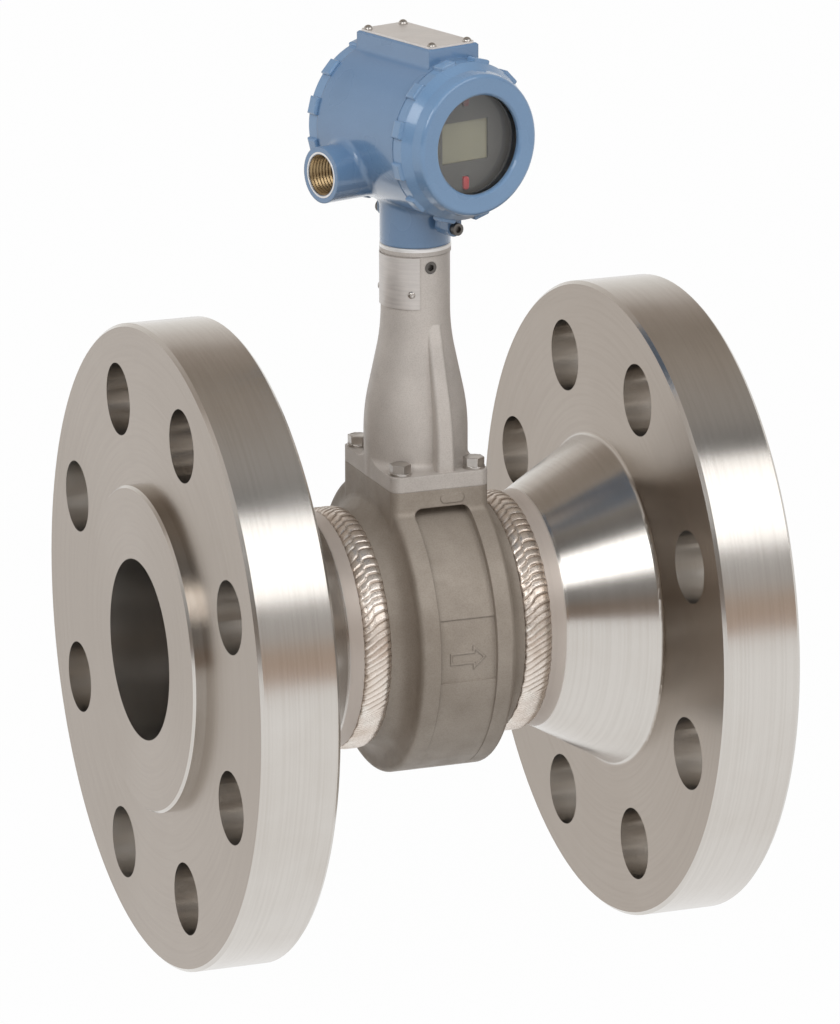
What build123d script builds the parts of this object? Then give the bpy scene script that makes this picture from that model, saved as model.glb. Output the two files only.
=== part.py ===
from build123d import *
import math
import os

# Vortex flow meter: a cast body welded between two weld-neck flanges, with its sensor under a
# cast column that carries a turnable electronics housing. Sizes are in millimetres.
# The origin is the centre of the inlet raised face, +X is the way of the flow, +Z is up.

# Pipe and flanges
FACE_TO_FACE = 282.0
FLANGE_DIAMETER = 311.0
FLANGE_THICKNESS = 38.8
FLANGE_CHAMFER = 1.6
RAISED_FACE_DIAMETER = 157.2
RAISED_FACE_HEIGHT = 6.4
RAISED_FACE_CHAMFER = 1.2
BOLT_CIRCLE = 241.3
BOLT_HOLES = 8
BOLT_HOLE_DIAMETER = 35.0
PIPE_BORE = 87.3
PIPE_WALL = 13.5
HUB_BASE_DIAMETER = 162.0
HUB_LAND = 6.25
HUB_BASE_FILLET = 3.0
HUB_LAND_FILLET = 12.0

# Butt welds between the hubs and the body
WELD_WIDTH = 13.5
WELD_ROOT_GAP = 3.2
WELD_CROWN = 1.6
WELD_PENETRATION = 0.75

# Meter body casting
DRUM_RISE = 14.85         # of the drum over the pipe
DRUM_WIDTH = 48.0
DRUM_TO_WELD = 10.25
DRUM_EDGE_FILLET = 2.5
DRUM_ROOT_FILLET = 9.5
POCKET_WIDTH = 28.6
POCKET_TOP_INSET = 6.5
POCKET_BOTTOM_INSET = 8.0
POCKET_CORNER_FILLET = 4.5
POCKET_DEPTH = 1.8
POCKET_FLOOR_DROP = 2.0
PANEL_TOP = 18.6
PANEL_BOTTOM = -11.7
PANEL_DEPTH = 0.7
ARROW_LENGTH = 18.0
ARROW_HEAD_LENGTH = 6.5
ARROW_HEAD_WIDTH = 12.0
ARROW_SHAFT_WIDTH = 6.0
ARROW_LINE = 1.0
ARROW_RISE = 0.5
ARROW_HEIGHT = 3.4
MARK_LENGTH = 12.0
MARK_WIDTH = 4.6
MARK_RISE = 0.5
MARK_OFFSET = 5.3
MARK_DROP = 4.6
BLUFF_BAR_WIDTH = 23.0
BLUFF_BAR_TAIL_WIDTH = 7.0
BLUFF_BAR_LENGTH = 30.0

# Pad and column base
PAD_LENGTH = 49.5
PAD_DEPTH = 70.0
PAD_RISE = 2.0            # of the pad over the drum
PAD_CORNER_FILLET = 5.0
PAD_ROOT_FILLET = 4.0
COLUMN_BASE_THICKNESS = 7.5
COLUMN_BASE_ROOT_FILLET = 3.5
COLUMN_BOLT_INSET_X = 6.0
COLUMN_BOLT_INSET_Y = 6.5
COLUMN_BOLT_DIAMETER = 6.0
COLUMN_BOLT_GRIP = 11.0
COLUMN_BOLT_HEAD = 9.0
COLUMN_BOLT_HEAD_HEIGHT = 4.0
COLUMN_BOLT_FOOT_DIAMETER = 10.8
COLUMN_BOLT_FOOT_HEIGHT = 1.3

# Sensor well
SENSOR_WELL_DIAMETER = 28.0
SENSOR_WELL_DEPTH = 21.0
SENSOR_TIP_DIAMETER = 11.0
SENSOR_TIP_DEPTH = 6.5
SENSOR_FLANGE_THICKNESS = 5.0
SENSOR_STEM_DIAMETER = 10.0
SENSOR_STEM_RISE = 18.0
SENSOR_NUT_THREAD_LENGTH = 11.0
SENSOR_NUT_HEX = 24.0
SENSOR_NUT_HEX_HEIGHT = 8.0

# Column: three lengths one above the other, wide, tapered and narrow
COLUMN_LOWER_LENGTH = 32.0
COLUMN_TAPER_LENGTH = 40.0
COLUMN_UPPER_LENGTH = 42.0
COLUMN_LOWER_DIAMETER = 50.0
COLUMN_UPPER_DIAMETER = 33.2
COLUMN_BLEND_RADIUS = 100.0
COLLAR_STEP = 0.5
COLLAR_HEIGHT = 4.2
COLLAR_CHAMFER = 0.6
COLUMN_LOWER_WALL = 5.5
COLUMN_UPPER_WALL = 5.6
CAVITY_TAPER_DROP = 6.0
CAVITY_PASSAGE_DROP = 8.0
RIB_OFFSET = 3.5
RIB_BASE_WIDTH = 9.0
RIB_TOP_WIDTH = 7.2
RIB_EDGE_FILLET = 2.0
RIB_INSET = 2.5
RIB_OVER_TAPER = 4.0
RIB_FOOT_DROP = 3.0

# Neck joint between column and housing
SOCKET_WALL = 3.3
SPIGOT_LENGTH = 18.0
SPIGOT_RUNNING_FIT = 0.05
SPIGOT_END_GAP = 4.0
NECK_SCREW_DIAMETER = 6.0
NECK_SCREW_DROP = 9.9
NECK_SCREW_ANGLE = 6.0
NECK_SCREW_SINK = 0.3
NECK_SCREW_GROOVE_DEPTH = 1.35
NECK_SCREW_GROOVE_WIDTH = 7.0
NECK_SEAL_SECTION = 2.1
NECK_SEAL_DROP = 4.4

# Tag plate on the column
TAG_OVER_TAPER = 12.2
TAG_HEIGHT = 25.0
TAG_THICKNESS = 0.7
TAG_ANGLE = 120.0
TAG_CENTRE_ANGLE = -73.5
TAG_RIVET_DIAMETER = 2.0
TAG_RIVET_HEAD = 3.6
TAG_RIVET_HEAD_HEIGHT = 0.9
TAG_RIVET_GRIP = 2.5
TAG_RIVET_RISE = 7.2
TAG_RIVET_INSET_ANGLE = 13.5

# Electronics housing. In the housing's own frame x is to the right of someone who faces
# the display, y is up and z comes out of the display.
HOUSING_TURN = 16.0
HOUSING_SEAT_TO_AXIS = 55.5
BARREL_DIAMETER = 76.0
BARREL_WALL = 4.0
BARREL_FRONT = 33.0
BARREL_BACK = -27.0
WALL_BACK = 3.0
WALL_THICKNESS = 4.0
NECK_STEP = 0.1
NECK_PASSAGE_DIAMETER = 16.0
NECK_WINDOW_WIDTH = 12.0
NECK_WINDOW_FRONT = 13.0
NECK_CHANNEL_HEIGHT = 5.0
NECK_CHANNEL_DROP = 1.0
BOSS_DIAMETER = 27.0
BOSS_LENGTH = 13.0
BOSS_HEIGHT = -17.5
BOSS_PLACE = -6.0
BOSS_ROOT_FILLET = 3.0
NECK_ROOT_FILLET = 4.0
CONDUIT_THREAD_DIAMETER = 19.8
CONDUIT_THREAD_LENGTH = 17.0
CONDUIT_PASSAGE_DIAMETER = 16.0
PLATE_PAD_WIDTH = 29.0
PLATE_PAD_RISE = 6.0
PLATE_PAD_BACK_INSET = 0.5
PLATE_PAD_FRONT_INSET = 2.5
PLATE_PAD_CHAMFER = 0.8
PLATE_PAD_ROOT_FILLET = 2.0
LOCK_LUG_DIAMETER = 8.0
LOCK_LUG_OFFSET = 5.7
LOCK_LUG_LENGTH = 10.0
LOCK_LUG_INSET = 2.0

# Covers of the housing
COVER_LUGS = 12
COVER_LUG_WIDTH = 8.5
COVER_LUG_HEIGHT = 1.7
COVER_LUG_FILLET = 1.0
COVER_RIM_STEP = 0.2
COVER_RIM_THICKNESS = 6.5
COVER_SKIRT_LENGTH = 12.0
COVER_SKIRT_WALL = 4.4
COVER_THREAD_GAP = 0.3
COVER_SEAL_SECTION = 2.3
COVER_SEAL_GAP = 0.1
BEZEL_STEP = 4.3
BEZEL_HEIGHT = 17.5
BEZEL_SHOULDER = 11.0
BEZEL_SHOULDER_STEP = 3.0
BEZEL_EDGE_FILLET = 2.2
BEZEL_LIP = 2.8
WINDOW_OPENING_DIAMETER = 47.6
WINDOW_CHAMFER = 0.9
REAR_COVER_HEIGHT = 9.5
REAR_COVER_FACE_STEP = 7.8
REAR_COVER_RIM_STEP = 0.8
REAR_COVER_WALL = 5.0

# Window glass with its gasket and retaining ring
GLASS_OVERLAP = 3.5
GLASS_THICKNESS = 6.0
GLASS_GAP = 0.3
GASKET_THICKNESS = 0.8
RETAINER_THICKNESS = 1.4
RETAINER_GROOVE_DEPTH = 0.7
RETAINER_GAP = 0.1
GLASS_RING_SETBACK = 0.7

# Display and electronics
MODULE_GAP = 0.7
FACEPLATE_THICKNESS = 7.0
FACEPLATE_RISE = 3.9      # of the display's face past the end of the barrel
LCD_VIEW_WIDTH = 27.0
LCD_VIEW_HEIGHT = 19.5
LCD_BORDER = 1.5
LCD_RECESS = 1.2
LCD_GAP = 0.1
JUMPER_WIDTH = 3.4
JUMPER_LENGTH = 6.4
JUMPER_HEIGHT = 2.4
JUMPER_RISE = 1.0
JUMPER_PLACE = 20.0
MODULE_SCREWS = 3
MODULE_SCREW_INSET = 5.6
MODULE_SCREW_DIAMETER = 3.0
MODULE_SCREW_HEAD = 5.6
MODULE_SCREW_HEAD_HEIGHT = 2.2

# Field wiring terminals
TERMINAL_WIDTH = 38.0
TERMINAL_HEIGHT = 14.0
TERMINAL_DEPTH = 10.0
TERMINAL_PLACE = 8.0
TERMINAL_SCREWS = 3
TERMINAL_SCREW_PITCH = 9.0
TERMINAL_SCREW_DIAMETER = 3.5
TERMINAL_SCREW_HEAD = 6.0
TERMINAL_SCREW_HEAD_HEIGHT = 2.0
TERMINAL_SCREW_GRIP = 6.0
BLOCK_SCREW_INSET = 3.0
EARTH_SCREW_X = 17.0
EARTH_SCREW_Y = -8.0

# Nameplate
NAMEPLATE_SIDE_INSET = 1.2
NAMEPLATE_END_INSET = 0.75
NAMEPLATE_THICKNESS = 0.9
NAMEPLATE_CORNER = 1.5
NAMEPLATE_SCREW_INSET_X = 3.0
NAMEPLATE_SCREW_INSET_Z = 2.75
NAMEPLATE_SCREW_DIAMETER = 2.4
NAMEPLATE_SCREW_HEAD = 4.6
NAMEPLATE_SCREW_HEAD_HEIGHT = 1.8
NAMEPLATE_SCREW_GRIP = 6.0

# Small socket screws and the conduit plug
LOCK_SCREW_DIAMETER = 4.0
LOCK_SCREW_HEAD = 6.0
LOCK_SCREW_HEAD_HEIGHT = 3.0
LOCK_SCREW_GRIP = 8.0
PLUG_RISE = 1.0
PLUG_SOCKET = 10.0
PLUG_SOCKET_DEPTH = 7.0

# Clearances: a screw in its hole, and a small gap at a face that is bolted or bonded
SCREW_GAP = 0.05
SOCKET_SHARE = 0.5
CLEARANCE_HOLE_GAP = 0.3
OVERRUN = 1.0             # how far a cut or a joined piece runs past a face
BLEND_SHARE = 0.95        # of the room that a taper has for its blend

# Sizes and places of the pipe, the body and the column that follow from those above
MIDDLE = FACE_TO_FACE / 2
PIPE_DIAMETER = PIPE_BORE + 2 * PIPE_WALL
DRUM_DIAMETER = PIPE_DIAMETER + 2 * DRUM_RISE
WELD_OFFSET = DRUM_WIDTH / 2 + DRUM_TO_WELD + WELD_WIDTH / 2
WELD_X = MIDDLE - WELD_OFFSET
POCKET_TOP = DRUM_DIAMETER / 2 - POCKET_TOP_INSET
POCKET_BOTTOM = POCKET_BOTTOM_INSET - DRUM_DIAMETER / 2
POCKET_FLOOR_RADIUS = DRUM_DIAMETER / 2 - POCKET_DEPTH
PANEL_RADIUS = POCKET_FLOOR_RADIUS - PANEL_DEPTH
PAD_TOP = DRUM_DIAMETER / 2 + PAD_RISE
SENSOR_WELL_FLOOR = PAD_TOP - SENSOR_WELL_DEPTH
SENSOR_TIP_FLOOR = SENSOR_WELL_FLOOR - SENSOR_TIP_DEPTH
COLUMN_BASE_TOP = PAD_TOP + COLUMN_BASE_THICKNESS
COLUMN_SHOULDER = PAD_TOP + COLUMN_LOWER_LENGTH
COLUMN_NECK = COLUMN_SHOULDER + COLUMN_TAPER_LENGTH
COLUMN_TOP = COLUMN_NECK + COLUMN_UPPER_LENGTH
COLLAR_DIAMETER = COLUMN_UPPER_DIAMETER + 2 * COLLAR_STEP
COLUMN_CAVITY_DIAMETER = COLUMN_LOWER_DIAMETER - 2 * COLUMN_LOWER_WALL
COLUMN_PASSAGE_DIAMETER = COLUMN_UPPER_DIAMETER - 2 * COLUMN_UPPER_WALL
SOCKET_DIAMETER = COLUMN_UPPER_DIAMETER - 2 * SOCKET_WALL
SPIGOT_DIAMETER = SOCKET_DIAMETER - 2 * SPIGOT_RUNNING_FIT
NECK_SCREW_HEIGHT = COLUMN_TOP - NECK_SCREW_DROP
NECK_SEAL_HEIGHT = COLUMN_TOP - NECK_SEAL_DROP
TAG_BOTTOM = COLUMN_NECK + TAG_OVER_TAPER
TAG_TOP = TAG_BOTTOM + TAG_HEIGHT
TAG_RIVET_HEIGHT = TAG_BOTTOM + TAG_RIVET_RISE

# Sizes and places of the housing and its covers that follow from those above
HOUSING_AXIS_HEIGHT = COLUMN_TOP + HOUSING_SEAT_TO_AXIS
BARREL_MOUTH_DIAMETER = BARREL_DIAMETER - 2 * BARREL_WALL
WALL_FRONT = WALL_BACK + WALL_THICKNESS
NECK_DIAMETER = COLLAR_DIAMETER - 2 * NECK_STEP
NECK_JOIN_HEIGHT = HOUSING_AXIS_HEIGHT - NECK_DIAMETER / 2
NECK_CHANNEL_TOP = -BARREL_DIAMETER / 2 - NECK_CHANNEL_DROP
BOSS_REACH = BARREL_DIAMETER / 2 + BOSS_LENGTH
PLATE_PAD_TOP = BARREL_DIAMETER / 2 + PLATE_PAD_RISE
PLATE_PAD_BACK = BARREL_BACK + PLATE_PAD_BACK_INSET
PLATE_PAD_FRONT = BARREL_FRONT - PLATE_PAD_FRONT_INSET
NAMEPLATE_WIDTH = PLATE_PAD_WIDTH - 2 * NAMEPLATE_SIDE_INSET
NAMEPLATE_LENGTH = PLATE_PAD_FRONT - PLATE_PAD_BACK - 2 * NAMEPLATE_END_INSET
LOCK_LUG_DROP = BARREL_DIAMETER / 2 + LOCK_LUG_OFFSET
COVER_RIM_DIAMETER = BARREL_DIAMETER - 2 * COVER_RIM_STEP
BEZEL_DIAMETER = COVER_RIM_DIAMETER - 2 * BEZEL_STEP
BEZEL_SHOULDER_DIAMETER = COVER_RIM_DIAMETER - 2 * BEZEL_SHOULDER_STEP
COVER_SKIRT_RADIUS = BARREL_MOUTH_DIAMETER / 2 - COVER_THREAD_GAP
COVER_SEAL_RADIUS = BARREL_MOUTH_DIAMETER / 2 - COVER_SEAL_GAP - COVER_SEAL_SECTION / 2
COVER_GROOVE_RADIUS = COVER_SEAL_RADIUS - COVER_SEAL_SECTION / 2 - COVER_SEAL_GAP
COVER_GROOVE_WIDTH = COVER_SEAL_SECTION + 2 * COVER_SEAL_GAP
COVER_INNER_RADIUS = COVER_SKIRT_RADIUS - COVER_SKIRT_WALL
GLASS_DIAMETER = WINDOW_OPENING_DIAMETER + 2 * GLASS_OVERLAP
GLASS_RING_INNER_DIAMETER = WINDOW_OPENING_DIAMETER + 2 * GLASS_RING_SETBACK
GLASS_TOP = BEZEL_HEIGHT - BEZEL_LIP - GASKET_THICKNESS
GLASS_BOTTOM = GLASS_TOP - GLASS_THICKNESS
MODULE_DIAMETER = 2 * (COVER_INNER_RADIUS - MODULE_GAP)
FACEPLATE_TOP = BARREL_FRONT + FACEPLATE_RISE
MODULE_TOP = FACEPLATE_TOP - FACEPLATE_THICKNESS
MODULE_SCREW_SEAT = MODULE_TOP - MODULE_SCREW_HEAD_HEIGHT - OVERRUN
HOUSING_PLANE = Plane(
    origin=(MIDDLE, 0, HOUSING_AXIS_HEIGHT),
    x_dir=(math.cos(math.radians(HOUSING_TURN)), math.sin(math.radians(HOUSING_TURN)), 0),
    z_dir=(math.sin(math.radians(HOUSING_TURN)), -math.cos(math.radians(HOUSING_TURN)), 0),
)


def outline(*points):
    """A closed face in the XY plane through the given points."""
    return make_face(Polyline(*points, close=True))


def corner(face, along, out):
    """The vertex of a face that lies nearest to a point."""
    return face.vertices().sort_by_distance(Vector(along, out, 0))[0]


def turned_on_pipe(face):
    """A face drawn as (along the pipe, radius), revolved about the pipe's axis."""
    return revolve(face, Axis.X)


def turned(face):
    """A face drawn as (radius, height), revolved about the upright axis."""
    return revolve(Plane.XZ * face, Axis.Z)


def rod(diameter, bottom, top):
    """An upright cylinder between two heights."""
    return Pos(0, 0, (bottom + top) / 2) * Cylinder(diameter / 2, top - bottom)


def hexagon(across_flats, bottom, top):
    """An upright hexagonal bar between two heights."""
    bar = extrude(RegularPolygon(across_flats / 2, 6, major_radius=False), top - bottom)
    return Pos(0, 0, bottom) * bar


def torus(ring_radius, section):
    """An O-ring about the upright axis."""
    return Torus(ring_radius, section / 2)


def in_housing(piece):
    """Moves a piece from the housing's own frame to its place on the meter."""
    return piece.moved(HOUSING_PLANE.location)


def column_ray(angle, height):
    """A frame on the column's axis whose z points outwards at an angle from the front."""
    turn = math.radians(angle)
    outward = (math.sin(turn), -math.cos(turn), 0)
    return Plane(origin=(MIDDLE, 0, height), x_dir=(0, 0, 1), z_dir=outward).location


def inlet_flange():
    """Weld-neck flange with a raised face, turned and drilled from one forging."""
    face_x = RAISED_FACE_HEIGHT
    back_x = face_x + FLANGE_THICKNESS
    hub_end = WELD_X - WELD_WIDTH / 2
    raised = RAISED_FACE_DIAMETER / 2
    rim = FLANGE_DIAMETER / 2
    hub = HUB_BASE_DIAMETER / 2
    pipe = PIPE_DIAMETER / 2
    bore = PIPE_BORE / 2
    face = outline(
        (0, bore),
        (0, raised),
        (face_x, raised),
        (face_x, rim),
        (back_x, rim),
        (back_x, hub),
        (hub_end - HUB_LAND, pipe),
        (hub_end, pipe),
        (WELD_X - WELD_ROOT_GAP / 2, bore),
    )
    face = chamfer(corner(face, 0, raised), RAISED_FACE_CHAMFER)
    for x in (face_x, back_x):
        face = chamfer(corner(face, x, rim), FLANGE_CHAMFER)
    face = fillet(corner(face, back_x, hub), HUB_BASE_FILLET)
    face = fillet(corner(face, hub_end - HUB_LAND, pipe), HUB_LAND_FILLET)
    flange = turned_on_pipe(face)
    hole = Pos(0, 0, BOLT_CIRCLE / 2) * Rot(0, 90, 0) * rod(BOLT_HOLE_DIAMETER, face_x, back_x)
    for index in range(BOLT_HOLES):
        flange -= Rot(360 * (index + 0.5) / BOLT_HOLES, 0, 0) * hole
    return flange


def inlet_weld():
    """V-groove butt weld with a rounded crown outside and its root standing in the bore."""
    pipe = PIPE_DIAMETER / 2
    bore = PIPE_BORE / 2
    crown_left = (WELD_X - WELD_WIDTH / 2, pipe)
    crown_right = (WELD_X + WELD_WIDTH / 2, pipe)
    root_left = (WELD_X - WELD_ROOT_GAP / 2, bore)
    root_right = (WELD_X + WELD_ROOT_GAP / 2, bore)
    edges = [
        Line(root_left, crown_left),
        ThreePointArc(crown_left, (WELD_X, pipe + WELD_CROWN), crown_right),
        Line(crown_right, root_right),
        ThreePointArc(root_right, (WELD_X, bore - WELD_PENETRATION), root_left),
    ]
    return turned_on_pipe(make_face(edges))


def to_outlet(piece):
    """The same piece at the other end of the meter."""
    return mirror(piece, about=Plane.YZ.offset(MIDDLE))


def body_drum():
    """The drum and its two weld ends, turned about the pipe."""
    bore = PIPE_BORE / 2
    pipe = PIPE_DIAMETER / 2
    drum = DRUM_DIAMETER / 2
    root_x = WELD_OFFSET - WELD_ROOT_GAP / 2
    end_x = WELD_OFFSET - WELD_WIDTH / 2
    half = DRUM_WIDTH / 2
    face = outline(
        (-root_x, bore),
        (-end_x, pipe),
        (-half, pipe),
        (-half, drum),
        (half, drum),
        (half, pipe),
        (end_x, pipe),
        (root_x, bore),
    )
    for side in (-half, half):
        face = fillet(corner(face, side, pipe), DRUM_ROOT_FILLET)
        face = fillet(corner(face, side, drum), DRUM_EDGE_FILLET)
    return turned_on_pipe(face)


def along_pipe(diameter, length, height=0.0):
    """A cylinder that lies along the pipe, centred under the column."""
    return Pos(0, 0, height) * Rot(0, 90, 0) * Cylinder(diameter / 2, length)


def side_pocket():
    """The space of the shallow pocket that runs down both sides of the drum.

    Its floor is a larger arc set low, so that the pocket fades out near the bottom, and a
    panel for the arrow is sunk a little deeper into that floor."""
    height = POCKET_TOP - POCKET_BOTTOM
    width = 2 * DRUM_DIAMETER
    block = Box(POCKET_WIDTH, width, height)
    top_edges = block.edges().filter_by(Axis.Y).group_by(Axis.Z)[-1]
    block = fillet(top_edges, POCKET_CORNER_FILLET)
    block = Pos(0, 0, (POCKET_TOP + POCKET_BOTTOM) / 2) * block
    floor = along_pipe(2 * POCKET_FLOOR_RADIUS, DRUM_WIDTH, -POCKET_FLOOR_DROP)
    panel_floor = along_pipe(2 * PANEL_RADIUS, DRUM_WIDTH, -POCKET_FLOOR_DROP)
    panel = Box(POCKET_WIDTH, width, PANEL_TOP - PANEL_BOTTOM)
    panel = Pos(0, 0, (PANEL_TOP + PANEL_BOTTOM) / 2) * panel
    return (block - floor) + (panel - panel_floor)


def flow_arrow():
    """Raised outline of an arrow on both side panels, pointing with the flow."""
    tip = ARROW_LENGTH / 2
    neck = tip - ARROW_HEAD_LENGTH
    shaft = ARROW_SHAFT_WIDTH / 2
    head = ARROW_HEAD_WIDTH / 2
    shape = outline(
        (-tip, -shaft),
        (neck, -shaft),
        (neck, -head),
        (tip, 0),
        (neck, head),
        (neck, shaft),
        (-tip, shaft),
    )
    line = shape - offset(shape, -ARROW_LINE, kind=Kind.INTERSECTION)
    bar = extrude(Pos(0, 0, ARROW_HEIGHT) * Plane.XZ * line, DRUM_DIAMETER / 2 + OVERRUN, both=True)
    outer = PANEL_RADIUS + ARROW_RISE
    shell = along_pipe(2 * outer, DRUM_WIDTH, -POCKET_FLOOR_DROP)
    shell -= along_pipe(2 * (outer - 2 * ARROW_RISE), DRUM_WIDTH, -POCKET_FLOOR_DROP)
    return bar & shell


def pad_plate(bottom, top):
    """A plate with the outline that the pad and the column's base share."""
    plate = Pos(0, 0, (bottom + top) / 2) * Box(PAD_LENGTH, PAD_DEPTH, top - bottom)
    return fillet(plate.edges().filter_by(Axis.Z), PAD_CORNER_FILLET)


def column_bolt_places():
    spacing_x = PAD_LENGTH - 2 * COLUMN_BOLT_INSET_X
    spacing_y = PAD_DEPTH - 2 * COLUMN_BOLT_INSET_Y
    return GridLocations(spacing_x, spacing_y, 2, 2)


def pad_mark():
    """Blank raised lozenge of the casting on the front of the pad."""
    lozenge = extrude(Plane.XZ * SlotOverall(MARK_LENGTH, MARK_WIDTH), MARK_RISE, both=True)
    return Pos(MARK_OFFSET, -PAD_DEPTH / 2, PAD_TOP - MARK_DROP) * lozenge


def bluff_bar():
    """Upright bar across the bore that sheds the vortices: wide face upstream, narrow tail."""
    half = BLUFF_BAR_LENGTH / 2
    nose = BLUFF_BAR_WIDTH / 2
    tail = BLUFF_BAR_TAIL_WIDTH / 2
    section = outline((-half, -nose), (half, -tail), (half, tail), (-half, nose))
    return extrude(section, PIPE_BORE / 2 + OVERRUN, both=True)


def cast_onto(casting, addition, radius, chosen=None):
    """Joins a piece to a casting, with a cast fillet along the seam or its chosen edges."""
    joined = casting + addition
    seam = new_edges(casting, addition, combined=joined)
    if chosen:
        seam = seam.filter_by(chosen)
    return fillet(seam, radius)


def outside_pipe(edge):
    """Whether an edge of the body lies farther out than the pipe's skin."""
    return math.hypot(edge.center().Y, edge.center().Z) > PIPE_DIAMETER / 2


def meter_body():
    """One casting: drum, weld ends, pad, side pockets and the bar across the bore."""
    body = cast_onto(body_drum(), pad_plate(0, PAD_TOP), PAD_ROOT_FILLET, outside_pipe)
    body += pad_mark()
    body -= along_pipe(PIPE_BORE, 2 * WELD_OFFSET)
    body += bluff_bar()
    body -= side_pocket()
    body += flow_arrow()
    body -= rod(SENSOR_WELL_DIAMETER, SENSOR_WELL_FLOOR, PAD_TOP)
    body -= rod(SENSOR_TIP_DIAMETER + 2 * SCREW_GAP, SENSOR_TIP_FLOOR, SENSOR_WELL_FLOOR)
    hole = rod(COLUMN_BOLT_DIAMETER + 2 * SCREW_GAP, PAD_TOP - COLUMN_BOLT_GRIP, PAD_TOP)
    for place in column_bolt_places():
        body -= place * hole
    return Pos(MIDDLE, 0, 0) * body


def sensor():
    """Turned sensor: tip in the well's floor, flange, and a stem for its lead."""
    flange_top = SENSOR_WELL_FLOOR + SENSOR_FLANGE_THICKNESS
    piece = rod(SENSOR_TIP_DIAMETER, SENSOR_TIP_FLOOR + SCREW_GAP, SENSOR_WELL_FLOOR)
    piece += rod(SENSOR_WELL_DIAMETER - 2 * CLEARANCE_HOLE_GAP, SENSOR_WELL_FLOOR, flange_top)
    piece += rod(SENSOR_STEM_DIAMETER, flange_top, PAD_TOP + SENSOR_STEM_RISE)
    return Pos(MIDDLE, 0, 0) * piece


def sensor_nut():
    """Hollow threaded nut that presses the sensor's flange into the well."""
    bottom = SENSOR_WELL_FLOOR + SENSOR_FLANGE_THICKNESS
    shoulder = bottom + SENSOR_NUT_THREAD_LENGTH
    top = shoulder + SENSOR_NUT_HEX_HEIGHT
    nut = rod(SENSOR_WELL_DIAMETER - 2 * SCREW_GAP, bottom, shoulder)
    nut += hexagon(SENSOR_NUT_HEX, shoulder, top)
    nut -= rod(SENSOR_STEM_DIAMETER + 2 * CLEARANCE_HOLE_GAP, bottom, top)
    return Pos(MIDDLE, 0, 0) * nut


def blend_radius(narrowing, rise, room):
    """The column's blend radius where a slope meets an upright, within the length it has there."""
    turn = math.atan2(narrowing, rise)
    return min(COLUMN_BLEND_RADIUS, BLEND_SHARE * room / math.tan(turn / 2))


def column_profile():
    """Outer outline of the round column, from its base plate to the machined collar."""
    lower = COLUMN_LOWER_DIAMETER / 2
    upper = COLUMN_UPPER_DIAMETER / 2
    collar = COLLAR_DIAMETER / 2
    collar_bottom = COLUMN_TOP - COLLAR_HEIGHT
    face = outline(
        (0, PAD_TOP),
        (lower, PAD_TOP),
        (lower, COLUMN_SHOULDER),
        (upper, COLUMN_NECK),
        (upper, collar_bottom),
        (collar, collar_bottom),
        (collar, COLUMN_TOP),
        (0, COLUMN_TOP),
    )
    slope = math.hypot(lower - upper, COLUMN_TAPER_LENGTH)
    blend = blend_radius(lower - upper, COLUMN_TAPER_LENGTH, slope / 2)
    for x, y in ((lower, COLUMN_SHOULDER), (upper, COLUMN_NECK)):
        face = fillet(corner(face, x, y), blend)
    return chamfer(corner(face, collar, COLUMN_TOP), COLLAR_CHAMFER)


def column_rib():
    """Drafted rib from the neck of the column out to the front edge of its base."""
    inner = COLUMN_PASSAGE_DIAMETER / 2
    outer = COLUMN_UPPER_DIAMETER / 2
    reach = PAD_DEPTH / 2 - RIB_INSET
    foot = COLUMN_SHOULDER - RIB_FOOT_DROP
    top = COLUMN_NECK + RIB_OVER_TAPER
    side = outline(
        (-inner, COLUMN_BASE_TOP),
        (-reach, COLUMN_BASE_TOP),
        (-reach, foot),
        (-outer, top),
        (-inner, top),
    )
    blend = blend_radius(reach - outer, top - foot, foot - COLUMN_BASE_TOP)
    side = fillet(corner(side, -reach, foot), blend)
    front = outline(
        (-RIB_BASE_WIDTH / 2, COLUMN_BASE_TOP),
        (RIB_BASE_WIDTH / 2, COLUMN_BASE_TOP),
        (RIB_TOP_WIDTH / 2, top),
        (-RIB_TOP_WIDTH / 2, top),
    )
    rib = extrude(Plane.YZ * side, PAD_LENGTH, both=True)
    rib &= extrude(Plane.XZ * front, PAD_DEPTH, both=True)
    upright = [edge for edge in rib.edges() if edge.bounding_box().size.Z > OVERRUN]
    rib = fillet([edge for edge in upright if edge.center().Y < -outer], RIB_EDGE_FILLET)
    return Pos(RIB_OFFSET, 0, 0) * rib


def column_cavity():
    """The hollow of the column: wide over the sensor, narrow above, a socket at the top."""
    wide = COLUMN_CAVITY_DIAMETER / 2
    narrow = COLUMN_PASSAGE_DIAMETER / 2
    socket = SOCKET_DIAMETER / 2
    socket_bottom = COLUMN_TOP - SPIGOT_LENGTH - SPIGOT_END_GAP
    return turned(
        outline(
            (0, PAD_TOP),
            (wide, PAD_TOP),
            (wide, COLUMN_SHOULDER - CAVITY_TAPER_DROP),
            (narrow, COLUMN_NECK - CAVITY_PASSAGE_DROP),
            (narrow, socket_bottom),
            (socket, socket_bottom),
            (socket, COLUMN_TOP),
            (0, COLUMN_TOP),
        )
    )


def tag_rivet_angles():
    """Where the tag plate's rivets stand round the column, one near each end."""
    reach = TAG_ANGLE / 2 - TAG_RIVET_INSET_ANGLE
    return (TAG_CENTRE_ANGLE - reach, TAG_CENTRE_ANGLE + reach)


def neck_screw_angles():
    return (NECK_SCREW_ANGLE, NECK_SCREW_ANGLE + 180)


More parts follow.
